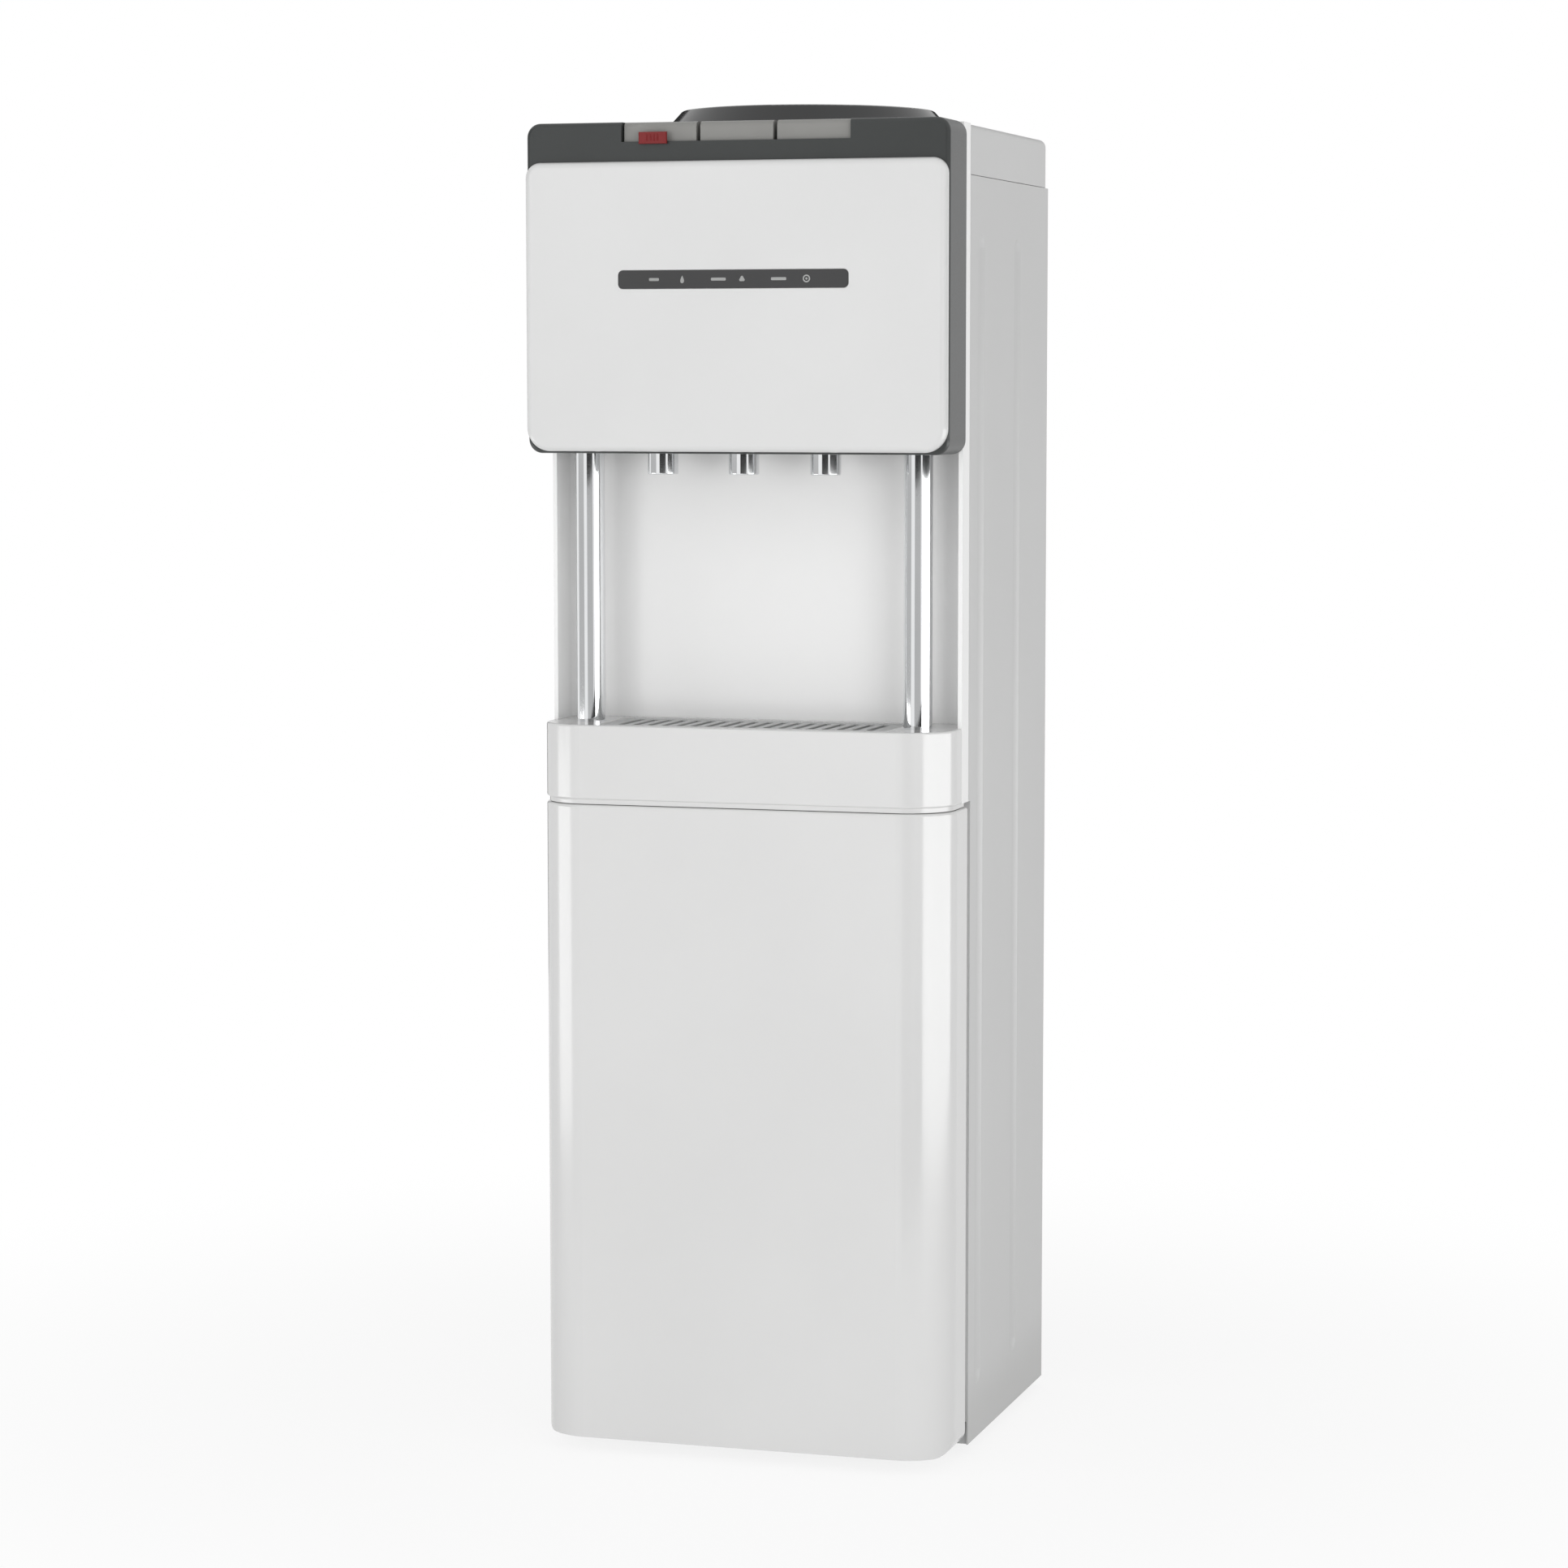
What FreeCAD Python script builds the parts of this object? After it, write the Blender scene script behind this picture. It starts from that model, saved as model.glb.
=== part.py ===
import FreeCAD, Part
import Sketcher
import math
import os

# Hot and cold water dispenser, floor standing, fed by a bottle on top.
# Millimetres. +Z up, front towards -Y, X to the right of someone who faces the front.
# The origin is on the floor, under the middle of the bounding box.

SIZES = {
    # Casing
    "body_width": 310,
    "body_depth": 306,
    "foot_height": 7,
    "sheet": 1.2,
    "wall": 2.5,
    "fit_gap": 0.3,
    "seam": 0.4,
    "pin_clearance": 0.05,
    # Heights of the front, from the base upwards
    "door_ground_gap": 3,
    "door_height": 468,
    "band_gap": 4,
    "band_height": 54,
    "alcove_height": 196,
    "head_height": 235,
    "cover_drop": 1,
    "skirt_height": 36,
    # Depths, from the front face backwards
    "panel_thickness": 6.5,
    "head_depth": 46,
    "strip_depth": 19,
    "lower_step": 5.5,
    "alcove_depth": 86.5,
    "door_depth": 62.5,
    "rear_recess": 32,
    # Base and feet
    "pan_height": 16,
    "pan_sheet": 1.5,
    "pan_front_inset": 2,
    "foot_radius": 14,
    "foot_inset": 30,
    "foot_front": 50,
    "foot_rear": 28,
    "stud_radius": 3,
    "stud_length": 9,
    # Pressed beads of the side panels
    "bead_width": 19,
    "bead_depth": 2.7,
    "bead_front": 103.5,
    "bead_pitch": 107,
    "bead_foot": 40,
    "bead_head": 41,
    "flange": 13,
    # Front moulding, head and head panel
    "frame_wall": 3,
    "rebate": 1.5,
    "alcove_corner": 12,
    "shell_overhang": 2,
    "shell_wall": 3,
    "shell_corner": 10,
    "shell_edge": 3,
    "panel_drop": 28,
    "panel_rise": 1.5,
    "panel_inset": 0.5,
    "panel_top_corner": 11,
    "panel_low_corner": 17,
    "panel_edge": 4.5,
    "panel_face": 2.5,
    "strip_width": 170.6,
    "strip_height": 13,
    "strip_low": 117,
    "strip_thickness": 1.2,
    "strip_corner": 3.5,
    "lens_radius": 1.8,
    "lens_pitch": 46,
    "lens_shift": 8,
    "board_thickness": 1.6,
    # Buttons
    "button_pitch": 57,
    "button_width": 54,
    "button_margin": 1,
    "button_length": 31.5,
    "button_lip": 14,
    "button_skirt": 6.5,
    "button_proud": 0,
    "button_wall": 2,
    "button_edge": 4,
    "button_front_gap": 1,
    "recess_rear_gap": 3,
    "axle_radius": 1.5,
    "axle_from_rear": 3,
    "axle_drop": 9,
    "lock_width": 21,
    "lock_height": 8.5,
    "lock_top_drop": 7.3,
    "lock_proud": 3.6,
    "lock_clear": 1.6,
    "lock_thickness": 2,
    "lock_neck": 1.9,
    "lock_stem": 6,
    "lock_stem_inset": 3,
    "lock_offset": -3.4,
    "lock_travel": 8,
    # Taps
    "tap_pitch": 61,
    "tap_setback": 20,
    "nozzle_radius": 11,
    "nozzle_bore": 6.5,
    "nozzle_drop": 15,
    "tap_flange": 14,
    "tap_flange_thick": 3,
    "tap_radius": 10,
    "tap_chamber": 8,
    "tap_height": 55,
    "valve_floor": 6,
    "valve_rise": 24,
    "valve_plate": 3,
    "orifice": 4,
    "rod_radius": 2.5,
    "poppet_radius": 6,
    "poppet_thick": 4,
    "rod_head": 3.5,
    "rod_gap": 0.5,
    "spring_wire": 0.5,
    "spring_turns": 5,
    "inlet_radius": 5,
    "inlet_bore": 3,
    "inlet_rise": 38,
    "inlet_length": 18,
    # Columns, tray housing and drip tray
    "column_radius": 10.5,
    "column_wall": 1.5,
    "column_spacing": 248,
    "column_setback": 40,
    "band_corner": 36,
    "band_wall": 3,
    "band_edge": 1.5,
    "tray_width": 216,
    "tray_front_land": 7.5,
    "tray_depth": 71,
    "tray_height": 25,
    "tray_corner": 8,
    "tray_wall": 2,
    "tray_sink": 0.5,
    "grille_thick": 2.5,
    "grille_slot": 5,
    "grille_pitch": 11,
    "grille_border": 9,
    # Door
    "door_corner": 36,
    "door_low_corner": 10,
    "door_inner_thick": 3,
    "door_edge": 2,
    "seal_width": 9,
    "hinge_in": 8,
    "hinge_forward": 10,
    "hinge_pin": 3,
    "hinge_reach": 10,
    "bush_radius": 5,
    "bush_flange": 7,
    "bush_lip": 0.8,
    "bracket_width": 16,
    "bracket_thick": 2,
    # Cabinet liner
    "liner_side_gap": 13.8,
    "liner_wall": 2,
    "liner_floor": 19,
    "liner_top_drop": 10,
    "liner_clear": 18.5,
    "liner_flange": 2.5,
    "liner_border": 11,
    # Top cover, bottle seat and guard
    "cover_corner": 10,
    "cover_edge": 6,
    "collar_radius": 105,
    "collar_step": 5,
    "collar_rise": 17,
    "collar_top": 94,
    "collar_mouth": 87,
    "collar_neck": 50,
    "collar_depth": 18,
    "collar_tube": 11,
    "collar_wall": 3,
    "collar_lip": 6,
    "collar_foot_edge": 1.5,
    "collar_outer_edge": 2.5,
    "collar_inner_edge": 2,
    "cover_hole": 78,
    "guard_probe": 11,
    "guard_rise": 30,
    "guard_tube": 6,
    "guard_drop": 62,
    # Cold side
    "cold_drop": 50,
    "cold_height": 188,
    "tank_wall": 1.2,
    "tank_corner": 8,
    "coil_wire": 4,
    "coil_pitch": 16,
    "coil_turns": 8,
    "foam_wall": 21,
    "foam_clear": 2,
    "foam_rear_gap": 11.5,
    "foam_corner": 14,
    "foam_height": 233,
    # Hot side
    "hot_radius": 48,
    "hot_height": 150,
    "hot_stand": 14,
    "hot_stand_inset": 8,
    "hot_stand_sheet": 2,
    "hot_corner": 6,
    "heater_width": 30,
    "heater_thick": 2,
    "thermostat_radius": 8,
    "thermostat_thick": 6,
    "shelf_sheet": 1.2,
    "shelf_flange": 12,
    "shelf_tab_front": 56,
    "shelf_tab_back": 5,
    "hose_radius": 5,
    "hose_bend": 7,
    "hose_wall": 1.5,
    "hose_clear": 3,
    # Cooling machine
    "compressor_radius": 58,
    "compressor_height": 140,
    "compressor_left": 40,
    "compressor_rear": 71,
    "compressor_foot": 20,
    "compressor_shoulder": 30,
    "compressor_dome": 22,
    "mount_radius": 10,
    "mount_height": 12,
    "mount_spacing_x": 130,
    "mount_spacing_y": 74,
    "foot_plate": 3,
    "pipe_radius": 3,
    "pipe_bend": 8,
    "pipe_channel": 19.5,
    "roof_clear": 41.5,
    "suction_rise": 20,
    "drier_radius": 9,
    "drier_length": 80,
    "drier_taper": 12,
    "condenser_width": 190,
    "condenser_rise": 45,
    "condenser_pitch": 28,
    "condenser_runs": 22,
    "condenser_tube": 2.4,
    "condenser_wire": 0.8,
    "condenser_wires": 20,
    "condenser_off": 13,
    "clip_width": 10,
    "clip_height": 12,
    # Rear fittings
    "bezel_width": 60,
    "bezel_height": 36,
    "bezel_thick": 2.5,
    "bezel_inset": 43,
    "bezel_corner": 4,
    "bezel_lap": 4,
    "switch_box_depth": 12,
    "bezel_drop": 30,
    "rocker_width": 14,
    "rocker_height": 20,
    "rocker_pitch": 26,
    "rocker_pin": 1,
    "rocker_rise": 4,
    "rocker_dip": 2.2,
    "rocker_back": 3,
    "rocker_heel": 6,
    "rocker_tilt": 10,
    "knob_radius": 13,
    "knob_length": 12,
    "knob_inset": 45,
    "spindle_radius": 3,
    "pointer_width": 2,
    "drain_inset": 30,
    "drain_rise": 16.6,
    "drain_length": 16,
    "drain_cap_radius": 9,
    "drain_cap_length": 11,
    "gland_radius": 7.5,
    "gland_flange": 10,
    "gland_bore": 3.5,
    "gland_inset": 40,
    "gland_rise": 43,
    "gland_length": 12,
    "louvre_length": 90,
    "louvre_width": 5,
    "louvre_pitch": 14,
    "louvre_centre": 58.5,
    "louvre_rise": 64,
    "louvre_margin": 20,
    "screw_head": 3.5,
    "screw_rise": 1.8,
    "screw_shank": 1.6,
    "screw_length": 6,
}

doc = FreeCAD.newDocument("WaterDispenser")
sheet = doc.addObject("Spreadsheet::Sheet", "Sizes")
for row, (alias, value) in enumerate(SIZES.items(), start=1):
    sheet.set(f"A{row}", alias)
    sheet.set(f"B{row}", str(value))
    sheet.setAlias(f"B{row}", alias)
doc.recompute()


# A size is a number together with its formula over the sheet
class Size:
    def __init__(self, number, formula):
        self.number = number
        self.formula = formula

    def __add__(self, other):
        return Size(self.number + number(other), f"({self.formula} + {formula(other)})")

    def __radd__(self, other):
        return Size(other + self.number, f"({other} + {self.formula})")

    def __sub__(self, other):
        return Size(self.number - number(other), f"({self.formula} - {formula(other)})")

    def __rsub__(self, other):
        return Size(other - self.number, f"({other} - {self.formula})")

    def __mul__(self, other):
        return Size(self.number * number(other), f"({self.formula} * {formula(other)})")

    def __rmul__(self, other):
        return Size(other * self.number, f"({other} * {self.formula})")

    def __truediv__(self, other):
        return Size(self.number / number(other), f"({self.formula} / {formula(other)})")

    def __neg__(self):
        return Size(-self.number, f"(-1 * {self.formula})")


def number(value):
    return value.number if isinstance(value, Size) else value


def formula(value):
    return value.formula if isinstance(value, Size) else str(value)


class Sheet:
    """Gives each size of the sheet as an attribute."""

    def __getattr__(self, alias):
        return Size(float(getattr(sheet, alias)), f"Sizes.{alias}")


size = Sheet()
pieces = []


def bind(item, target, value):
    item.setExpression(target, formula(value))


def piece(name, item):
    """Enter a finished object as one sub-part under its own name."""
    item.Label = name
    pieces.append(item)
    return item


def place(item, x, y, z):
    for axis, value in zip("xyz", (x, y, z)):
        bind(item, f"Placement.Base.{axis}", value)


def box(name, x, y, z):
    """A block between two limits along each axis."""
    item = doc.addObject("Part::Box", name)
    bind(item, "Length", x[1] - x[0])
    bind(item, "Width", y[1] - y[0])
    bind(item, "Height", z[1] - z[0])
    place(item, x[0], y[0], z[0])
    return item


TURNS = {
    "X": FreeCAD.Rotation(FreeCAD.Vector(0, 1, 0), 90),
    "Y": FreeCAD.Rotation(FreeCAD.Vector(1, 0, 0), -90),
    "Z": FreeCAD.Rotation(),
}


def rod(name, radius, axis, centre, span):
    """A cylinder along an axis; centre holds its other two coordinates in X, Y, Z order."""
    item = doc.addObject("Part::Cylinder", name)
    bind(item, "Radius", radius)
    bind(item, "Height", span[1] - span[0])
    item.Placement = FreeCAD.Placement(FreeCAD.Vector(), TURNS[axis])
    base = list(centre)
    base.insert("XYZ".index(axis), span[0])
    place(item, *base)
    return item


def ball(name, radius, x, y, z):
    item = doc.addObject("Part::Sphere", name)
    bind(item, "Radius", radius)
    place(item, x, y, z)
    return item


def group(name, *items):
    item = doc.addObject("Part::Compound", name)
    item.Links = list(items)
    return item


def fuse(name, *items):
    item = doc.addObject("Part::MultiFuse", name)
    item.Shapes = list(items)
    item.Refine = True
    return item


def cut(name, base, *tools):
    item = doc.addObject("Part::Cut", name)
    item.Base = base
    item.Tool = tools[0] if len(tools) == 1 else group(name + "Tools", *tools)
    item.Refine = True
    return item


def common(name, first, second):
    item = doc.addObject("Part::Common", name)
    item.Base = first
    item.Tool = second
    return item


def level(axis, value):
    """A test for edges that lie wholly at one coordinate."""
    def test(edge):
        limits = edge.BoundBox
        low = getattr(limits, axis + "Min")
        high = getattr(limits, axis + "Max")
        return abs(low - number(value)) < 0.01 and abs(high - number(value)) < 0.01
    return test


def rounded(name, base, radius, *tests):
    """Round every edge that passes all the tests."""
    doc.recompute()
    item = doc.addObject("Part::Fillet", name)
    item.Base = base
    item.Edges = [
        (index, number(radius), number(radius))
        for index, edge in enumerate(base.Shape.Edges, start=1)
        if all(test(edge) for test in tests)
    ]
    return item


def origin_plane(body, role):
    return next(item for item in body.Origin.OriginFeatures if item.Role == role)


def draw(body, name, plane, points, offset):
    """A closed sketch through points (u, v) or (u, v, corner radius), on an offset origin plane."""
    sketch = body.newObject("Sketcher::SketchObject", name)
    sketch.AttachmentSupport = [(origin_plane(body, plane), "")]
    sketch.MapMode = "FlatFace"
    bind(sketch, "AttachmentOffset.Base.z", offset)
    count = len(points)
    corners = [FreeCAD.Vector(number(point[0]), number(point[1]), 0) for point in points]
    starts, ends, arcs = [], [], {}
    for index, point in enumerate(points):
        corner = corners[index]
        before = (corners[index - 1] - corner).normalize()
        after = (corners[(index + 1) % count] - corner).normalize()
        if len(point) == 2:
            ends.append(corner)
            starts.append(corner)
            continue
        half = before.getAngle(after) / 2
        reach = number(point[2]) / math.tan(half)
        apex_reach = number(point[2]) / math.sin(half) - number(point[2])
        ends.append(corner + before * reach)
        starts.append(corner + after * reach)
        apex = corner + (before + after).normalize() * apex_reach
        left_turn = before.cross(after).z < 0
        order = (ends[-1], apex, starts[-1]) if left_turn else (starts[-1], apex, ends[-1])
        arcs[index] = (Part.Arc(*order), 1 if left_turn else 2)
    for index in range(count):
        sketch.addGeometry(Part.LineSegment(starts[index], ends[(index + 1) % count]), False)
    for index in range(count):
        before_line = (index - 1) % count
        anchor = (index, 1)
        if index in arcs:
            arc, first = arcs[index]
            curve = sketch.addGeometry(arc, False)
            mark = sketch.addGeometry(Part.Point(corners[index]), True)
            sketch.addConstraint(Sketcher.Constraint("Tangent", before_line, 2, curve, first))
            sketch.addConstraint(Sketcher.Constraint("Tangent", curve, 3 - first, index, 1))
            sketch.addConstraint(Sketcher.Constraint("PointOnObject", mark, 1, before_line))
            sketch.addConstraint(Sketcher.Constraint("PointOnObject", mark, 1, index))
            radius = points[index][2]
            limit(sketch, Sketcher.Constraint("Radius", curve, number(radius)), radius)
            anchor = (mark, 1)
        else:
            sketch.addConstraint(Sketcher.Constraint("Coincident", before_line, 2, index, 1))
        for kind, value in zip(("DistanceX", "DistanceY"), points[index]):
            limit(sketch, Sketcher.Constraint(kind, -1, 1, *anchor, number(value)), value)
    return sketch


def limit(sketch, constraint, value):
    """Add a dimension to a sketch and bind it to its size."""
    index = sketch.addConstraint(constraint)
    sketch.renameConstraint(index, f"size_{index}")
    bind(sketch, f"Constraints.size_{index}", value)


def prism(name, plane, points, low, high):
    """A body padded from an outline, between two levels along the plane's own axis."""
    body = doc.addObject("PartDesign::Body", name)
    offset = -high if plane == "XZ_Plane" else low
    sketch = draw(body, name + "Sketch", plane, points, offset)
    pad = body.newObject("PartDesign::Pad", name + "Pad")
    pad.Profile = sketch
    bind(pad, "Length", high - low)
    return body


def carve(body, name, plane, points, low, high):
    """Pocket an outline out of a body between two levels, and check that it removed material."""
    doc.recompute()
    before = body.Shape.Volume
    offset = -low if plane == "XZ_Plane" else high
    sketch = draw(body, name + "Sketch", plane, points, offset)
    pocket = body.newObject("PartDesign::Pocket", name)
    pocket.Profile = sketch
    bind(pocket, "Length", high - low)
    doc.recompute()
    if body.Shape.Volume >= before:
        raise RuntimeError(name + " cuts nothing")
    return pocket


def soften(body, name, radius, *tests):
    """Fillet the edges of a body that pass all the tests."""
    doc.recompute()
    base = body.Tip
    fillet = body.newObject("PartDesign::Fillet", name)
    names = [
        f"Edge{index}"
        for index, edge in enumerate(base.Shape.Edges, start=1)
        if all(test(edge) for test in tests)
    ]
    fillet.Base = (base, names)
    bind(fillet, "Radius", radius)
    return fillet


def rectangle(u, v, *radii):
    """Corner points of a rectangle, anticlockwise from the low corner, with optional radii."""
    corners = [(u[0], v[0]), (u[1], v[0]), (u[1], v[1]), (u[0], v[1])]
    if not radii:
        return corners
    if len(radii) == 1:
        radii = radii * 4
    return [corner + (radius,) for corner, radius in zip(corners, radii)]


def turned(name, profile, x=0, y=0, z=0):
    """A body of revolution about a vertical axis, from points (radius, height)."""
    body = doc.addObject("PartDesign::Body", name)
    sketch = draw(body, name + "Sketch", "XZ_Plane", profile, 0)
    turn = body.newObject("PartDesign::Revolution", name + "Turn")
    turn.Profile = sketch
    turn.ReferenceAxis = (sketch, ["V_Axis"])
    turn.Angle = 360
    place(body, x, y, z)
    return body


def path(points, bend):
    """A wire through points, with every corner rounded by an arc."""
    corners = [FreeCAD.Vector(*[number(value) for value in point]) for point in points]
    edges = []
    start = corners[0]
    for before, corner, after in zip(corners, corners[1:], corners[2:]):
        back = (before - corner).normalize()
        ahead = (after - corner).normalize()
        half = back.getAngle(ahead) / 2
        reach = bend / math.tan(half)
        middle = (back + ahead).normalize()
        apex = corner + middle * (bend / math.sin(half) - bend)
        entry = corner + back * reach
        leave = corner + ahead * reach
        if (entry - start).Length > 1e-6:
            edges.append(Part.LineSegment(start, entry).toShape())
        edges.append(Part.Arc(entry, apex, leave).toShape())
        start = leave
    edges.append(Part.LineSegment(start, corners[-1]).toShape())
    return Part.Wire(edges)


def tube_shape(points, radius, bend, bore=0):
    """A round tube swept along a rounded path."""
    wire = path(points, number(bend))
    start = wire.Edges[0].valueAt(wire.Edges[0].FirstParameter)
    heading = wire.Edges[0].tangentAt(wire.Edges[0].FirstParameter)
    rings = [Part.Wire(Part.makeCircle(number(radius), start, heading))]
    if number(bore) > 0:
        rings.append(Part.Wire(Part.makeCircle(number(bore), start, heading)))
    solids = [wire.makePipeShell([ring], True, False) for ring in rings]
    return solids[0] if len(solids) == 1 else solids[0].cut(solids[1])


def shaped(name, shape):
    item = doc.addObject("Part::Feature", name)
    item.Shape = shape
    return item


# Planes and levels that several pieces share
gap = size.fit_gap
half_width = size.body_width / 2
back = size.body_depth / 2
front = -back
face = front + size.panel_thickness
shell_back = face + size.head_depth
strip_back = shell_back + size.strip_depth
lower_edge = strip_back + size.lower_step
alcove_wall = face + size.alcove_depth
side_inner = half_width - size.sheet
rear_plane = back - size.rear_recess
base_low = size.foot_height
door_low = base_low + size.door_ground_gap
door_top = door_low + size.door_height
band_low = door_top + size.band_gap
band_top = band_low + size.band_height
head_low = band_top + size.alcove_height
head_top = head_low + size.head_height
cover_top = head_top - size.cover_drop
skirt_low = cover_top - size.skirt_height
frame_back = alcove_wall + size.wall


# Base pan of folded steel, with holes for the four feet
pan_x = (-side_inner, side_inner)
pan_y = (lower_edge + size.pan_front_inset, back - size.sheet)
pan_top = base_low + size.pan_sheet
pan = cut(
    "BasePan",
    box("PanBlock", pan_x, pan_y, (base_low, base_low + size.pan_height)),
    box(
        "PanInside",
        (pan_x[0] + size.pan_sheet, pan_x[1] - size.pan_sheet),
        (pan_y[0] + size.pan_sheet, pan_y[1] - size.pan_sheet),
        (pan_top, base_low + size.pan_height + 1),
    ),
)
foot_x = half_width - size.foot_inset
foot_ys = (-size.foot_front, back - size.foot_rear)
foot_spots = [(x, y) for x in (-foot_x, foot_x) for y in foot_ys]
foot_holes = [
    rod(f"FootHole{index}", size.stud_radius + size.fit_gap, "Z", spot, (base_low - 1, pan_top + 1))
    for index, spot in enumerate(foot_spots)
]
piece("base_plate", cut("BasePlate", pan, *foot_holes))

# Feet, each a rubber pad moulded on a threaded stud
foot_profile = [
    (0, 0),
    (size.foot_radius - 1, 0),
    (size.foot_radius, 1.5),
    (size.foot_radius - 2, size.foot_height),
    (size.stud_radius, size.foot_height),
    (size.stud_radius, size.foot_height + size.stud_length),
    (0, size.foot_height + size.stud_length),
]
feet = [turned(f"Foot{index}", foot_profile, *spot) for index, spot in enumerate(foot_spots)]
piece("feet", group("Feet", *feet))


# Side panels of painted sheet, each with two pressed beads and folded edges
bead_ball = (size.bead_width * size.bead_width / 4 + size.bead_depth * size.bead_depth) / (2 * size.bead_depth)
bead_ys = (front + size.bead_front, front + size.bead_front + size.bead_pitch)
panel_top = skirt_low - size.seam
bead_low = base_low + size.bead_foot
bead_high = panel_top - size.bead_head
bead_ends = (bead_low + size.bead_width / 2, bead_high - size.bead_width / 2)


def bead_tool(name, radius, x, y):
    """A vertical round-ended form for a bead."""
    return fuse(
        name,
        rod(name + "Run", radius, "Z", (x, y), bead_ends),
        ball(name + "Low", radius, x, y, bead_ends[0]),
        ball(name + "High", radius, x, y, bead_ends[1]),
    )


def side_panel(label, side):
    def across(inner, outer):
        return (inner, outer) if side > 0 else (-outer, -inner)

    plate = prism(
        label + "Plate",
        "YZ_Plane",
        [
            (lower_edge, base_low),
            (back, base_low),
            (back, panel_top),
            (strip_back + size.seam, panel_top),
            (strip_back + size.seam, band_low),
            (lower_edge, band_low),
        ],
        *across(side_inner, half_width),
    )
    rear_fold = box(
        label + "RearFold",
        across(half_width - size.flange, half_width - size.sheet / 2),
        (back - size.sheet, back),
        (base_low, panel_top),
    )
    front_fold = box(
        label + "FrontFold",
        across(half_width - size.flange, half_width - size.sheet / 2),
        (lower_edge, lower_edge + size.sheet),
        (base_low + size.pan_height + 1, band_low),
    )
    reach = size.bead_depth + 2 * size.sheet
    centre = half_width + bead_ball - size.bead_depth
    solids = [plate, rear_fold, front_fold]
    grooves = []
    for index, y in enumerate(bead_ys):
        x = centre if side > 0 else -centre
        slab = box(
            f"{label}Slab{index}",
            across(half_width - reach, half_width - size.sheet / 2),
            (y - size.bead_width, y + size.bead_width),
            (bead_low - size.bead_width, bead_high + size.bead_width),
        )
        outer = bead_tool(f"{label}Back{index}", bead_ball + size.sheet, x, y)
        solids.append(common(f"{label}Bead{index}", outer, slab))
        grooves.append(bead_tool(f"{label}Groove{index}", bead_ball, x, y))
    return cut(label, fuse(label + "Whole", *solids), *grooves)


piece("left_side_panel", side_panel("LeftSide", -1))
piece("right_side_panel", side_panel("RightSide", 1))


# Front moulding: back wall and flanks of the alcove, with the strip that the head closes on
inner_half = half_width - size.frame_wall
rebate_half = half_width - size.rebate
frame_channel = prism(
    "FrameChannel",
    "XY_Plane",
    [
        (half_width, shell_back),
        (half_width, strip_back),
        (rebate_half, strip_back),
        (rebate_half, frame_back, size.alcove_corner),
        (-rebate_half, frame_back, size.alcove_corner),
        (-rebate_half, strip_back),
        (-half_width, strip_back),
        (-half_width, shell_back),
        (-inner_half, shell_back),
        (-inner_half, alcove_wall, size.alcove_corner),
        (inner_half, alcove_wall, size.alcove_corner),
        (inner_half, shell_back),
    ],
    band_low,
    skirt_low - size.seam,
)
frame_bridge = box(
    "FrameBridge",
    (-half_width, half_width),
    (shell_back, strip_back),
    (cover_top - size.wall, cover_top),
)
frame_posts = [
    box(f"FramePost{index}", limits, (shell_back, strip_back), (skirt_low - 1, cover_top))
    for index, limits in enumerate([(-half_width, -inner_half), (inner_half, half_width)])
]
tap_xs = {"hot": -size.tap_pitch, "ambient": 0 * size.tap_pitch, "cold": size.tap_pitch}
tap_y = face + size.tap_setback
inlet_z = head_low + size.shell_wall + size.inlet_rise
hose_holes = [
    rod(f"HoseHole{name}", size.hose_radius + 1, "Y", (x, inlet_z), (alcove_wall - 1, frame_back + 1))
    for name, x in tap_xs.items()
]
piece("front_frame", cut("FrontFrame", fuse("FrameWhole", frame_channel, frame_bridge, *frame_posts), *hose_holes))


# Tray housing under the alcove, with the well that the drip tray sits in
tray_x = (-size.tray_width / 2, size.tray_width / 2)
tray_y = (face + size.tray_front_land, face + size.tray_front_land + size.tray_depth)
tray_top = band_top - size.tray_sink
tray_low = tray_top - size.tray_height
housing_block = prism(
    "HousingBlock",
    "XY_Plane",
    [
        (-half_width, face, size.band_corner),
        (half_width, face, size.band_corner),
        (half_width, shell_back - gap),
        (inner_half - gap, shell_back - gap),
        (inner_half - gap, alcove_wall - gap, size.alcove_corner),
        (gap - inner_half, alcove_wall - gap, size.alcove_corner),
        (gap - inner_half, shell_back - gap),
        (-half_width, shell_back - gap),
    ],
    band_low,
    band_top,
)
for name, z in (("HousingTop", band_top), ("HousingLow", band_low)):
    soften(
        housing_block,
        name,
        size.band_edge,
        level("Z", z),
        lambda edge: edge.BoundBox.YMin < number(shell_back) - 2,
    )
well = prism(
    "Well",
    "XY_Plane",
    rectangle(
        (tray_x[0] - gap, tray_x[1] + gap), (tray_y[0] - gap, tray_y[1] + gap), size.tray_corner + gap
    ),
    tray_low,
    band_top + 1,
)
cavity_low = band_low + size.band_wall
cavity_back = alcove_wall - size.alcove_corner
under_well = box(
    "UnderWell",
    (size.band_corner - half_width, half_width - size.band_corner),
    (face + size.band_wall, cavity_back),
    (cavity_low, tray_low - size.band_wall),
)
end_cavities = [
    box(
        f"EndCavity{index}",
        limits,
        (face + size.band_corner, cavity_back),
        (cavity_low, band_top - size.band_wall),
    )
    for index, limits in enumerate(
        [
            (size.frame_wall + gap + size.band_wall - half_width, tray_x[0] - gap - size.band_wall),
            (tray_x[1] + gap + size.band_wall, half_width - size.frame_wall - gap - size.band_wall),
        ]
    )
]
hinge_x = size.hinge_in - half_width
hinge_y = face + size.door_depth - size.hinge_forward
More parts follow.
